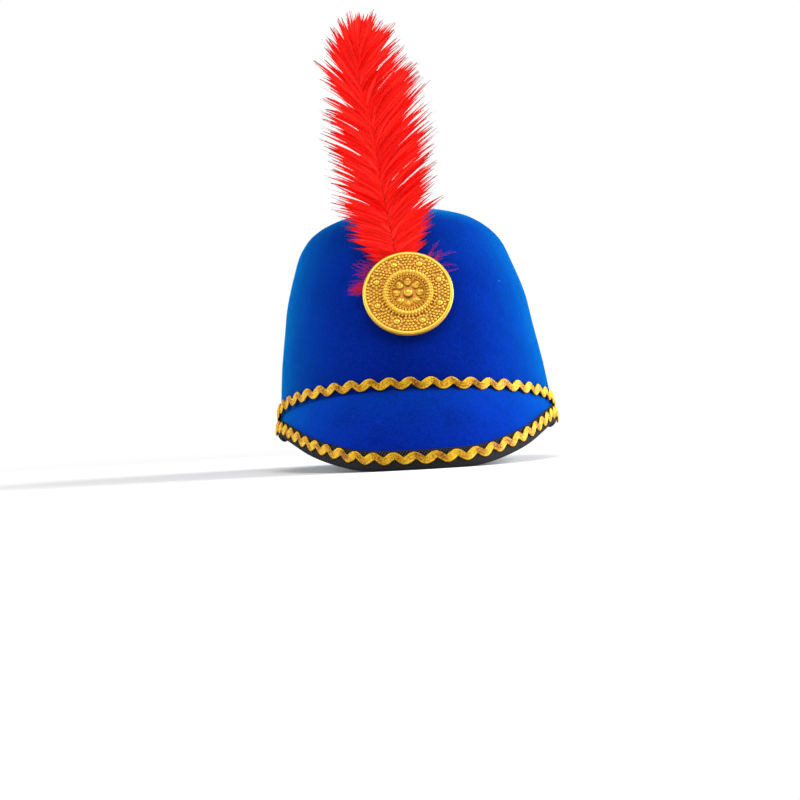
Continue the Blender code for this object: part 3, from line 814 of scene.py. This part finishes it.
def make_braid(name, line, end_angle, finish):
    """A plaited strand that waves along a line."""
    angles, waves, length = line_angles(line, end_angle)
    steps = len(angles) - 1
    section = [(x, True) for x in spread(-1.0, 1.0, BRAID_TOP_ROWS)]
    section += [(x, False) for x in BRAID_UNDER_ROWS]
    marks = {}

    def spot(point):
        return tuple(round(part, 7) for part in point)

    def place(share, row):
        phase = 2 * pi * waves * share
        x, top = section[row % len(section)]
        slope = BRAID_SWING * cos(phase) / (BRAID_WAVE / (2 * pi))
        half = BRAID_WIDTH / 2 / hypot(1, slope) * (1 + BRAID_UNEVEN * cos(phase))
        height, tones = braid_relief(phase, x, share * length) if top else (0.0, BARE_TONES)
        at = kept(share - slope * half * x / length) * steps
        low = min(int(at), steps - 1)
        angle = between(angles[low], angles[low + 1], at - low)
        point = line(angle, height, BRAID_SWING * sin(phase) + half * x)
        marks[spot(point)] = tones
        return point

    bm = mapped_grid(steps, len(section), place, (length, BRAID_MAP_WIDTH))
    for label in BRAID_TONES:
        bm.verts.layers.float.new(label)
    layers = [bm.verts.layers.float[label] for label in BRAID_TONES]
    for vert in bm.verts:
        for layer, tone in zip(layers, marks.get(spot(vert.co), (0.5, 0.5, 0.0))):
            vert[layer] = tone
    cap_ends(bm, BRAID_MERGE)
    return add_piece(name, new_mesh(bm), finish)


# Cast badge

BADGE_AROUND = 288
BADGE_SHARP = radians(60)
# The seat behind the badge is painted dark, as painted shade.
SEAT_TONE = 0.2

# Each row: share of the radius, height as a share of the thickness, how bright the face is painted
# there, as painted light and shade.
BADGE_SHAPE = (
    (0.000, 0.66, 0.10), (0.110, 0.66, 0.05), (0.170, 0.66, 0.12), (0.340, 0.88, 0.30),
    (0.362, 0.98, 0.30), (0.430, 1.04, 0.15), (0.445, 1.24, 0.55), (0.462, 1.30, 0.50),
    (0.485, 1.34, 0.62), (0.515, 1.35, 0.62), (0.540, 1.31, 0.50), (0.556, 1.20, 0.40),
    (0.566, 1.00, 0.30), (0.575, 0.84, 0.00), (0.640, 0.80, 0.00), (0.740, 0.79, 0.00),
    (0.840, 0.79, 0.00), (0.878, 0.80, 0.05), (0.912, 0.82, 0.20), (0.922, 0.94, 0.55),
    (0.938, 0.97, 0.60), (0.970, 0.97, 0.60), (0.986, 0.93, 0.60), (0.994, 0.86, 0.55),
    (1.000, 0.70, 0.55), (1.000, 0.30, 0.45), (0.990, 0.10, 0.30), (0.960, 0.00, 0.20),
)


def badge_place():
    """The badge's middle on the crown, its axis along the wall's slope."""
    angle = asin(BADGE_SIDE / CROWN_HALF_WIDTH)
    low = crown_point(angle, BADGE_HEIGHT - BADGE_RADIUS)
    high = crown_point(angle, BADGE_HEIGHT + BADGE_RADIUS)
    up = (high - low).normalized()
    outward = up.cross(Vector((-1, 0, 0))).normalized()
    if outward.y > 0:
        outward = -outward
    side = up.cross(outward)
    seat = crown_point(angle, BADGE_HEIGHT)
    reach = max((low - seat).dot(outward), (high - seat).dot(outward), 0.0)
    middle = seat + outward * (reach + 2 * QUILL_RADIUS + 2 * CLEARANCE)
    turn = Matrix((side, up, outward)).transposed().to_4x4()
    return Matrix.Translation(middle) @ turn, reach


BADGE_PLACE, BADGE_REACH = badge_place()


ROSETTES = 8
ROSETTE_RING = 0.735
ROSETTE_MIDDLE = (0.00195, 0.00195, 0.00120)
ROSETTE_BEADS = 10
ROSETTE_BEAD = (0.0009384, 0.0009384, 0.00080)
ROSETTE_RADIUS = 0.110
ROSETTE_CLEAR = 0.160
BEAD = 0.00102
BEAD_RISE = 0.00078
BEAD_RINGS = (0.616, 0.683, 0.750, 0.817, 0.880)
BEAD_PITCH = 0.00205
BEAD_TONE = 0.62
# Each bead is painted lighter towards its top: a painted highlight.
BEAD_SHADING = 0.45
HOOK_BEADS = 7
HOOK_BEAD = (0.00045, 0.00075, 0.00042)

# Rings of beads. Each row: how many, the ring's share of the radius, its start in steps, a bead's
# size along the radius, round and up, how far it sinks in, how it is turned and tipped, its tone of
# painted light and shade.
ORNAMENT = {
    "gadroons": (44, 0.500, 0.0, (0.00150, 0.00082, 0.00055), 0.45, 0.0, 0.0, 0.55),
    "outer dentils": (48, 0.572, 0.0, (0.00075, 0.00058, 0.00095), 0.10, 0.0, 0.5, BEAD_TONE),
    "inner dentils": (40, 0.428, 0.0, (0.00080, 0.00056, 0.00085), 0.10, 0.0, -0.5, BEAD_TONE),
    "rope": (46, 0.378, 0.0, (0.00082, 0.00045, 0.00060), 0.20, 0.75, 0.0, BEAD_TONE),
    "milled side": (84, 0.984, 0.0, (0.00055, 0.00066, 0.00125), 1.02, 0.0, 0.0, BEAD_TONE),
    "shells": (8, 0.262, 0.0, (0.00265, 0.00225, 0.00140), 0.40, 0.0, 0.0, 0.75),
    "pearls": (8, 0.292, 0.0, (0.00110, 0.00120, 0.00175), 0.20, 0.0, 0.0, 0.45),
    "fins": (8, 0.330, 0.5, (0.00130, 0.00042, 0.00150), 0.40, 0.0, 0.0, 0.80),
    "boss": (1, 0.0, 0.0, (0.00290, 0.00290, 0.00200), 0.20, 0.0, 0.0, BEAD_TONE),
}


def bead_kit():
    """A small round bead, of radius 1 about the origin."""
    bm = bmesh.new()
    bmesh.ops.create_uvsphere(bm, u_segments=10, v_segments=6, radius=1.0)
    return new_mesh(bm)


def badge_height(radius_share):
    """How high the turned face stands, from its middle to its rim."""
    shares, heights, _ = zip(*BADGE_SHAPE[:-3])
    return float(np.interp(radius_share, shares, heights)) * BADGE_THICKNESS


def around(radius, angle, height=0.0):
    """A point at an angle round the badge's axis."""
    return Vector((radius * cos(angle), radius * sin(angle), height))


def add_bead(bm, kit, share, angle, size, sink, turn=0.0, tip=0.0, tone=BEAD_TONE):
    """A bead on the cast face. Its size is along the radius, round, and up."""
    base = badge_height(share) + size[2] * (1 - 2 * sink)
    place = Matrix.Translation(around(share * BADGE_RADIUS, angle, base))
    place = place @ Matrix.Rotation(angle + turn, 4, "Z") @ Matrix.Rotation(tip, 4, "Y")
    place = place @ Matrix.Diagonal((*size, 1.0))
    first = len(bm.verts)
    bm.from_mesh(kit)
    bm.verts.ensure_lookup_table()
    relief_shading = bm.verts.layers.float["relief_shading"]
    for vert in bm.verts[first:]:
        # Painted light and shade: a bead's tone rises towards its top.
        vert[relief_shading] = tone + BEAD_SHADING * vert.co.z
        vert.co = place @ vert.co


def add_rosettes(bm, kit):
    """Rosettes, each a round middle in a ring of beads. Returns their middles."""
    middles = []
    for i in range(ROSETTES):
        angle = 2 * pi * (i + 0.5) / ROSETTES
        middles.append(around(ROSETTE_RING, angle))
        add_bead(bm, kit, ROSETTE_RING, angle, ROSETTE_MIDDLE, sink=0.25)
        for j in range(ROSETTE_BEADS):
            spot = middles[-1] + around(ROSETTE_RADIUS, angle + 2 * pi * j / ROSETTE_BEADS)
            add_bead(bm, kit, spot.length, atan2(spot.y, spot.x), ROSETTE_BEAD, sink=0.30)
    return middles


def add_field_beads(bm, kit, middles):
    """Rings of small uneven beads between the rosettes."""
    for ring, share in enumerate(BEAD_RINGS):
        count = round(2 * pi * share * BADGE_RADIUS / BEAD_PITCH / ROSETTES) * ROSETTES
        for i in range(count):
            angle = 2 * pi * (i + 0.5 * (ring % 2)) / count
            spot = around(share, angle)
            if min((spot - middle).length for middle in middles) < ROSETTE_CLEAR:
                continue
            wobble = noise.noise(spot * 40)
            size = BEAD * (0.92 + 0.12 * wobble)
            add_bead(bm, kit, share, angle + 0.006 * wobble, (size, size * 0.95, BEAD_RISE), sink=0.3)


def add_ornament(bm, kit):
    for count, share, start, *bead in ORNAMENT.values():
        for i in range(count):
            add_bead(bm, kit, share, 2 * pi * (i + start) / count, *bead)


def add_hook(bm, kit):
    """A carved hook that curls over the boss, in the darkest tone as painted shade of the carving."""
    for i in range(HOOK_BEADS):
        share, angle = 0.070 - 0.004 * i, 0.9 + 0.62 * i
        add_bead(bm, kit, share, angle, HOOK_BEAD, sink=0.05 * i - 2.75, tone=0.0)


def turned_disc():
    """The badge's plain disc and the seat behind it."""
    foot = -(BADGE_REACH + 2 * QUILL_RADIUS + CLEARANCE)
    outline = [(share * BADGE_RADIUS, up * BADGE_THICKNESS, tone) for share, up, tone in BADGE_SHAPE]
    seat = ((BADGE_SEAT_RADIUS, 0.0), (BADGE_SEAT_RADIUS, foot), (0.0, foot))
    outline += [(*corner, SEAT_TONE) for corner in seat]
    bm = bmesh.new()
    relief_shading = bm.verts.layers.float.new("relief_shading")
    verts = []
    for radius, up, tone in outline:
        verts.append(bm.verts.new((radius, 0, up)))
        verts[-1][relief_shading] = tone
    edges = [bm.edges.new(pair) for pair in zip(verts, verts[1:])]
    turn = {"cent": (0, 0, 0), "axis": (0, 0, 1), "angle": 2 * pi, "steps": BADGE_AROUND}
    bmesh.ops.spin(bm, geom=verts + edges, use_merge=True, **turn)
    close_up(bm)
    return new_mesh(bm)


def make_badge(finish):
    """The turned disc with its rosettes, beads, rings, shells and boss."""
    disc, kit = turned_disc(), bead_kit()
    bm = bmesh.new()
    bm.from_mesh(disc)
    add_field_beads(bm, kit, add_rosettes(bm, kit))
    add_ornament(bm, kit)
    add_hook(bm, kit)
    for used in (kit, disc):
        bpy.data.meshes.remove(used)
    obj = add_piece("badge_casting", new_mesh(bm), finish, HAT @ BADGE_PLACE)
    obj.data.set_sharp_from_angle(angle=BADGE_SHARP)
    return obj


# Ostrich plume

PLUME_SEED = 7
SMALL_SHARE = 0.02
ROOT_LOW = 0.045
QUILL_END = 0.99
QUILL_STEPS = 40
QUILL_THIN = (0.5, 0.2)
QUILL_COVERED = (0.35, 0.20)
BARB_STEPS = 14
BARB_ROOT_WIDTH = 0.62
BARB_THICKNESS = 0.26
BARB_TAPER = 0.32
BARB_POINT = 0.17
BARB_ROLL = 0.55
BARB_TONE = (0.55, 0.26)
BARB_BEND_UP = 0.55
BARB_BEND_OUT = (0.32, 0.46)
BARB_SWAY = 0.0012
HAIR_LEAN = (31, 8)
HAIR_LIFT = 42
HAIR_REACH = (0.65, 1.2)
HAIR_TONE = 0.14
DARK_FROM = 0.80
CURL_FROM = 0.30
CURL_LEAST = 0.06
CURL_SCATTER = 0.014
FELT_GAP = 0.0009
BARBS_A_LAYER = 146
LONG_SHARE = 0.66
LONG_REACH = (0.88, 1.02)
LOOSE_REACH = (0.45, 0.90)
LOCKS_A_SIDE = 30
LOCK_SPAN = (0.03, 0.99)
LOCK_SCATTER = 0.007
LOCK_REACH = (1.02, 0.07)
LOCK_PULL = (0.6, 1.0)
LOCK_EASE = 4.5
SHORT_BARBS = 44
SHORT_REACH = (0.15, 0.45)
STRAYS_A_SIDE = 26
STRAYS_FROM = 0.06
STRAY_REACH = (1.0, 1.12)
STRAY_CURL = (-0.04, 0.09)
CREST_BARBS = 26
CREST_TIPS = (0.945, 1.003)
CREST_REACH = (-0.3, 1.2)
CREST_CURL = (-0.1, 0.1)
DOWN_ROOT = 0.72
DOWN_SCATTER = 0.12
DOWN_GATHER = 0.25
DOWN_LIFT = (-0.001, 0.003)
DOWN_BEND = (-0.005, 0.006)

# Each row: half-width, how dark the tip is painted as shade, how many hairs, their length and radius,
# how dull it is.
BARBS = {
    "long": (0.00082, 1.0, 200, 0.0030, 0.000075, 0.0),
    "loose": (0.00082, 0.0, 200, 0.0030, 0.000075, 0.0),
    "short": (0.00140, 0.0, 90, 0.0030, 0.000075, 0.0),
    "stray": (0.000287, 1.0, 50, 0.0012, 0.000075, 0.0),
    "crest": (0.00082, 1.0, 120, 0.0030, 0.000075, 0.0),
    "down": (0.00004, 0.0, 34, 0.0042, 0.000036, 0.45),
}

# Each row: the least and the most that the barbs curl, how far they gather into locks, their reach.
LAYERS = {"front": ((0.015, 0.105), 0.76, 1.0), "back": ((-0.050, 0.020), 0.30, 0.90)}

# Each row: how many barbs of down, between which angles round the badge, their reach past its rim.
DOWN_FANS = (
    (30, 100, 150, 0.22, 0.50),
    (12, 150, 170, 0.10, 0.38),
    (26, 169, 176, 0.22, 0.38),
    (7, 44, 84, 0.16, 0.40),
    (5, 24, 60, 0.24, 0.56),
)

# Each row: share of the length, how much of the plume's reach the left and the right barbs take.
VANE_REACH = (
    (0.00, 1.00, 1.25), (0.15, 1.00, 1.20), (0.30, 1.00, 1.05), (0.65, 1.00, 1.00),
    (0.80, 0.95, 1.06), (0.92, 1.08, 1.22), (1.00, 1.60, 2.20),
)

# Each row: where a barb's tip stands, how far below it the barb leaves the quill, as shares.
BARB_RISE = (
    (0.00, 0.050), (0.12, 0.085), (0.30, 0.140), (0.50, 0.165),
    (0.70, 0.180), (0.85, 0.200), (1.00, 0.200),
)


def quill_point(share):
    """A point of the quill, which leaves the badge and bends forward."""
    root = BADGE_PLACE @ Vector((0, BADGE_RADIUS, -CLEARANCE - QUILL_RADIUS))
    sideways, forward = read_table(PLUME_SHAPE, share)[:2]
    climb = FLOOR_UP * (share * PLUME_LENGTH)
    lean = FLOOR_FORWARD * ((forward - PLUME_SHAPE[0][2]) * PLUME_LENGTH)
    return root + climb + lean + Vector((sideways * PLUME_LENGTH, 0, 0))


def plume_frame(share):
    """Directions at a point of the quill: up it, sideways, and out of its face."""
    share = kept(share)
    above = quill_point(min(share + SMALL_SHARE, 1.0))
    up = (above - quill_point(max(share - SMALL_SHARE, 0.0))).normalized()
    side = Vector((1, 0, 0)) - up * up.x
    side.normalize()
    return up, side, side.cross(up)


def off_felt(point):
    """A point of the plume, kept just clear of the crown."""
    if not 0 < point.z < CROWN_HEIGHT:
        return point
    left, right, front, _ = crown_shares(point.z / CROWN_HEIGHT)
    half_width = CROWN_HALF_WIDTH * (right if point.x > 0 else left) + FELT_GAP
    half_length = CROWN_HALF_LENGTH * front + FELT_GAP
    inside = hypot(point.x / half_width, point.y / half_length)
    if inside < 1 and point.y < 0:
        point = Vector((point.x / inside, point.y / inside, point.z))
    return point


def tip_point(side, tip_share, reach_share, curl):
    """Where a barb ends: to the side of the quill, and curled out of its face."""
    at = kept(tip_share)
    column = 0 if side < 0 else 1
    reach = read_table(PLUME_SHAPE, at)[2 + column] * read_table(VANE_REACH, at)[column]
    _, across, out = plume_frame(at)
    sideways = across * (side * reach * PLUME_LENGTH * reach_share)
    curled = curl * PLUME_LENGTH * reach_share * kept(at / CURL_FROM, CURL_LEAST)
    return quill_point(tip_share) + sideways + out * curled


def bezier(start, bend, tip):
    """Points from the start towards the bend and to the tip, clear of the felt."""
    points = []
    for share in spread(0.0, 1.0, BARB_STEPS):
        point = start * (1 - share) ** 2 + bend * (2 * share * (1 - share)) + tip * share**2
        points.append(off_felt(point))
    return np.array(points)


def barb_path(rng, side, tip_share, reach_share, curl):
    """The middle line of one barb, from the quill up and out to its tip."""
    rise = read_table(BARB_RISE, kept(tip_share))[0] * between(0.5, 1.0, reach_share)
    root_share = max(tip_share - rise, -ROOT_LOW * rng.random())
    up, _, out = plume_frame(root_share)
    start = quill_point(root_share)
    tip = tip_point(side, tip_share, reach_share, curl)
    climb = up * (tip - start).dot(up)
    sideways = (tip - start - climb) * rng.uniform(*BARB_BEND_OUT)
    bend = start + climb * BARB_BEND_UP + sideways + out * rng.normal(0, BARB_SWAY)
    return bezier(start, bend, tip)


def unit(vectors):
    return vectors / np.maximum(np.linalg.norm(vectors, axis=-1, keepdims=True), 1e-12)


def strand_arrays(path, widths, depths, face):
    """Points and faces of a closed strand with four sides, wide and thin."""
    along = unit(np.gradient(path, axis=0))
    flat = unit(np.cross(along, face))
    out = np.cross(flat, along)
    wide, thin = flat * widths[:, None], out * depths[:, None]
    points = np.stack([path + wide, path + thin, path - wide, path - thin], axis=1).reshape(-1, 3)
    sides = np.arange(4)
    near = np.arange(len(path) - 1)[:, None] * 4 + sides
    beside = np.arange(len(path) - 1)[:, None] * 4 + (sides + 1) % 4
    first = np.stack([near, beside, near + 4], axis=-1).reshape(-1, 3)
    second = np.stack([beside, beside + 4, near + 4], axis=-1).reshape(-1, 3)
    last = 4 * (len(path) - 1)
    caps = np.array([[0, 2, 1], [0, 3, 2], [last, last + 1, last + 2], [last, last + 2, last + 3]])
    return points, np.concatenate([first, second, caps])


TETRA = np.array([[0, 2, 1], [0, 1, 3], [1, 2, 3], [2, 0, 3]])


# How far along a barb its tip is painted dark, as painted shade.
def painted_tip_shade(shares, dark):
    return np.clip((shares - DARK_FROM) / (1 - DARK_FROM), 0, 1) * dark


def hair_arrays(rng, path, count, length, radius):
    """The hairs along one barb, closed slivers that lean, and their places on it."""
    at = (np.arange(count) + rng.random(count)) / count
    side = np.where(np.arange(count) % 2 == 0, -1.0, 1.0)
    steps = len(path) - 1
    low = np.minimum((at * steps).astype(int), steps - 1)
    base = between(path[low], path[low + 1], (at * steps - low)[:, None])
    along = unit(path[low + 1] - path[low])
    flat = unit(np.cross(along, np.array(FLOOR_FORWARD)))
    out = np.cross(flat, along)
    lean = np.radians(rng.normal(*HAIR_LEAN, count) - 10 * at)[:, None]
    lift = np.radians(rng.normal(0, HAIR_LIFT, count))[:, None]
    swing = flat * (side[:, None] * np.cos(lift)) + out * np.sin(lift)
    aim = along * np.cos(lean) + swing * np.sin(lean)
    full = np.clip(0.45 + at * 3.0, 0, 1) * np.clip((1.04 - at) / 0.5, 0.12, 1)
    tip = base + aim * (length * full * rng.uniform(*HAIR_REACH, count))[:, None]
    beside = unit(np.cross(aim, out)) * radius
    above = np.cross(unit(beside), aim) * radius
    corners = (base + beside, base - beside * 0.5 + above, base - beside * 0.5 - above, tip)
    faces = np.arange(count)[:, None, None] * 4 + TETRA
    return np.stack(corners, axis=1).reshape(-1, 3), faces.reshape(-1, 3), at


class Strands:
    """Gathers the points and faces of many small strands into one mesh."""

    def __init__(self):
        self.points, self.faces, self.tones, self.tips = [], [], [], []
        self.count = 0

    def add(self, points, faces, tone, tip):
        self.points.append(points)
        self.faces.append(faces + self.count)
        self.tones.append(np.broadcast_to(tone, len(points)))
        self.tips.append(np.broadcast_to(tip, len(points)))
        self.count += len(points)

    def piece(self, name, finish):
        mesh = bpy.data.meshes.new(name)
        mesh.from_pydata(np.concatenate(self.points), [], np.concatenate(self.faces))
        for label, values in (("tone", self.tones), ("tip", self.tips)):
            layer = mesh.attributes.new(label, "FLOAT", "POINT")
            layer.data.foreach_set("value", np.concatenate(values).astype(np.float32))
        return add_piece(name, mesh, finish)


def add_barb(strands, rng, path, kind):
    """One barb: a soft flat strand that tapers, with fine hairs along it."""
    width, dark, count, length, radius, dull = BARBS[kind]
    shares = np.linspace(0, 1, len(path))
    widths = width * np.clip(BARB_ROOT_WIDTH + shares * 2, 0, 1)
    widths *= np.clip((1.0 - shares) / BARB_TAPER, BARB_POINT, 1)
    face = np.array(FLOOR_FORWARD) + rng.normal(0, BARB_ROLL, 3)
    points, faces = strand_arrays(path, widths, widths * BARB_THICKNESS, face)
    tone = np.clip(rng.normal(*BARB_TONE), 0, 1)
    strands.add(points, faces, tone, np.repeat(np.maximum(painted_tip_shade(shares, dark), dull), 4))
    points, faces, at = hair_arrays(rng, path, count, length, radius)
    tones = np.clip(tone + np.repeat(rng.normal(0, HAIR_TONE, count), 4), 0, 1)
    strands.add(points, faces, tones, np.repeat(np.maximum(painted_tip_shade(at, dark), dull), 4))


def make_vane(name, side, layer, finish):
    """One layer of one side of the plume: barbs gathered into pointed locks."""
    curls, pull, reach = layer
    rng = np.random.default_rng([PLUME_SEED, side + 1, int(curls[0] > 0)])
    strands = Strands()
    tips = np.linspace(*LOCK_SPAN, LOCKS_A_SIDE) + rng.normal(0, LOCK_SCATTER, LOCKS_A_SIDE)
    reaches = reach * (LOCK_REACH[0] + rng.normal(0, LOCK_REACH[1], LOCKS_A_SIDE))
    curled = rng.uniform(*curls, LOCKS_A_SIDE)
    ease = np.linspace(0, 1, BARB_STEPS)[:, None] ** LOCK_EASE
    for i in range(BARBS_A_LAYER):
        tip_share = (i + rng.random()) / BARBS_A_LAYER
        lock = int(np.argmin(np.abs(tips - tip_share)))
        long = rng.random() < LONG_SHARE
        reach_share = reaches[lock] * rng.uniform(*(LONG_REACH if long else LOOSE_REACH))
        curl = curled[lock] + rng.normal(0, CURL_SCATTER)
        path = barb_path(rng, side, tip_share, reach_share, curl)
        if long:
            gathered = tip_point(side, tips[lock], reach_share, curled[lock])
            path = path + (np.array(gathered) - path[-1]) * ease * pull * rng.uniform(*LOCK_PULL)
        add_barb(strands, rng, path, "long" if long else "loose")
    for i in range(SHORT_BARBS):
        tip_share = (i + rng.random()) / SHORT_BARBS
        path = barb_path(rng, side, tip_share, rng.uniform(*SHORT_REACH), rng.uniform(*curls))
        add_barb(strands, rng, path, "short")
    return strands.piece(name, finish)


def add_strays(strands, rng):
    """Thin single barbs that stand a little out of the outline."""
    for side in (-1, 1):
        for i in range(STRAYS_A_SIDE):
            tip_share = between(STRAYS_FROM, 1.0, (i + rng.random()) / STRAYS_A_SIDE)
            path = barb_path(rng, side, tip_share, rng.uniform(*STRAY_REACH), rng.uniform(*STRAY_CURL))
            add_barb(strands, rng, path, "stray")


def add_down(strands, rng):
    """Soft down that spreads from behind the badge over the felt."""
    depth = -CLEARANCE - QUILL_RADIUS
    for count, low, high, near, far in DOWN_FANS:
        for _ in range(count):
            turn = radians(rng.uniform(low, high))
            reach = BADGE_RADIUS * (1 + rng.uniform(near, far))
            root = turn + rng.normal(0, DOWN_SCATTER) + DOWN_GATHER * (pi / 2 - turn)
            start = BADGE_PLACE @ around(BADGE_RADIUS * DOWN_ROOT, root, depth)
            tip = BADGE_PLACE @ around(reach, turn, depth) + FLOOR_FORWARD * rng.uniform(*DOWN_LIFT)
            bend = (start + tip) / 2 + FLOOR_UP * rng.uniform(*DOWN_BEND)
            add_barb(strands, rng, bezier(start, bend, tip), "down")


def add_crest(strands, rng):
    """The barbs that close the plume's top."""
    for _ in range(CREST_BARBS):
        tip_share, reach_share, curl = (rng.uniform(*r) for r in (CREST_TIPS, CREST_REACH, CREST_CURL))
        add_barb(strands, rng, barb_path(rng, 1, tip_share, reach_share, curl), "crest")


def make_down(finish):
    """The loose down, the stray barbs and the crest."""
    rng = np.random.default_rng(PLUME_SEED)
    strands = Strands()
    for add in (add_down, add_strays, add_crest):
        add(strands, rng)
    return strands.piece("plume_down", finish)


def make_quill(finish):
    """The quill, with the barbs' colour where they cover it."""
    shares = np.linspace(-ROOT_LOW, QUILL_END, QUILL_STEPS)
    path = np.array([quill_point(share) for share in shares])
    radii = np.linspace(QUILL_RADIUS * QUILL_THIN[0], QUILL_TIP_RADIUS * QUILL_THIN[1], QUILL_STEPS)
    covered = np.clip((shares - QUILL_COVERED[0]) / QUILL_COVERED[1], 0, 1)
    strands = Strands()
    points, faces = strand_arrays(path, radii, radii, np.array(FLOOR_FORWARD))
    strands.add(points, faces, np.repeat(covered, 4), 0.0)
    return strands.piece("plume_quill", finish)


def make_plume(feather, quill):
    pieces = [make_quill(quill), make_down(feather)]
    for place, layer in LAYERS.items():
        for name, side in (("left", -1), ("right", 1)):
            pieces.append(make_vane(f"plume_{name}_{place}", side, layer, feather))
    return pieces


# The studio

CAMERA_AT = Vector((-0.0096, -1.5881, 0.0398))
CAMERA_ROLL = radians(-3.2)
LENS = 117.27
SENSOR = 36.0
FLOOR_RADIUS = 3.0
FLOOR_SIDES = 96
FLOOR_COLOUR = (0.80, 0.80, 0.80)
FLOOR_FADE = (0.22, 0.80)
WHITE = (1.0, 1.0, 1.0)
WORLD_FILL = 0.18
LIT_SPOT = Vector((0, 0, 0.12))

# Each row: a lamp, where it stands, its size and its power in watts.
LAMPS = (
    ("left_rim", (-1.25, 0.10, 0.45), 0.9, 18),
    ("right_rim", (1.15, 0.10, 0.45), 0.9, 39),
    ("front", (-0.35, -1.7, 0.95), 1.1, 2),
    ("top", (0.0, -0.95, 1.40), 0.9, 15),
)


def make_camera():
    data = bpy.data.cameras.new("camera")
    data.lens = LENS
    data.sensor_width = SENSOR
    camera = new_object("camera", data)
    look = Matrix.Rotation(pi / 2, 4, "X") @ Matrix.Rotation(CAMERA_ROLL, 4, "Z")
    camera.matrix_world = Matrix.Translation(CAMERA_AT) @ look
    bpy.context.scene.camera = camera


def make_floor():
    """A pale round floor that fades into the backdrop."""
    finish = Finish("floor", roughness=0.9, base_color=FLOOR_COLOUR, specular_ior_level=0.1)
    x, y = finish.parts(finish.place())
    away = ((x * x + y * y).root() - FLOOR_FADE[0]) * (1 / (FLOOR_FADE[1] - FLOOR_FADE[0]))
    glow = finish.node("Emission", Color=WHITE, Strength=1.0)
    blend = finish.node("MixShader", Fac=away.held())
    finish.feed(blend.inputs[1], finish.shader.outputs[0])
    finish.feed(blend.inputs[2], glow.outputs[0])
    finish.feed(finish.tree.nodes["Material Output"].inputs["Surface"], blend.outputs[0])
    bm = bmesh.new()
    bmesh.ops.create_circle(bm, cap_ends=True, segments=FLOOR_SIDES, radius=FLOOR_RADIUS)
    mesh = new_mesh(bm)
    mesh.materials.append(finish.material)
    new_object("floor", mesh)


def make_lamps():
    """Soft square lamps that look at the hat."""
    for name, at, size, power in LAMPS:
        data = bpy.data.lights.new(name, "AREA")
        data.size = size
        data.energy = power
        lamp = new_object(name, data)
        lamp.location = at
        lamp.rotation_euler = (LIT_SPOT - lamp.location).to_track_quat("-Z", "Y").to_euler()


def make_world():
    """A weak light from all round. The camera sees a white backdrop instead."""
    scene = bpy.context.scene
    scene.world = bpy.data.worlds.new("studio")
    scene.world.use_nodes = True
    tree = scene.world.node_tree
    seen = tree.nodes.new("ShaderNodeLightPath")
    backdrop = tree.nodes.new("ShaderNodeBackground")
    fill = tree.nodes["Background"]
    for light, strength in ((backdrop, 1.0), (fill, WORLD_FILL)):
        light.inputs["Color"].default_value = (*WHITE, 1.0)
        light.inputs["Strength"].default_value = strength
    blend = tree.nodes.new("ShaderNodeMixShader")
    sources = (seen.outputs["Is Camera Ray"], fill.outputs[0], backdrop.outputs[0])
    for socket, source in zip(blend.inputs, sources):
        tree.links.new(source, socket)
    tree.links.new(blend.outputs[0], tree.nodes["World Output"].inputs["Surface"])
    scene.view_settings.view_transform = "Standard"
    scene.view_settings.look = "None"


def declare(pieces, slot, *nodes):
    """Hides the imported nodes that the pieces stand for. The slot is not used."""
    for piece in pieces:
        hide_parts(*nodes)


def main():
    make_camera()
    make_floor()
    make_lamps()
    make_world()
    tape, braid = black_tape(), gold_braid()
    declare([make_crown(blue_felt("crown_felt"))], "blue_felt", "crown")
    # The peak takes the lighter copy of the felt, as painted light.
    declare([make_peak(blue_felt("peak_felt", PEAK_PAINTED_LIGHT))], "blue_felt", "peak")
    declare([make_band(tape)], "black_tape", "crown_band")
    declare([make_binding(tape)], "black_tape", "peak_binding")
    seam = make_braid("seam_rickrack", seam_line, SEAM_BRAID_END_ANGLE, braid)
    declare([seam], "gold_braid", "seam_braid")
    edge = make_braid("peak_rickrack", edge_line, PEAK_BRAID_END_ANGLE, braid)
    declare([edge], "gold_braid", "peak_braid")
    declare([make_badge(gold_casting())], "gold_casting", "badge")
    declare(make_plume(red_feather(), red_quill()), "red_feather", "plume")


main()
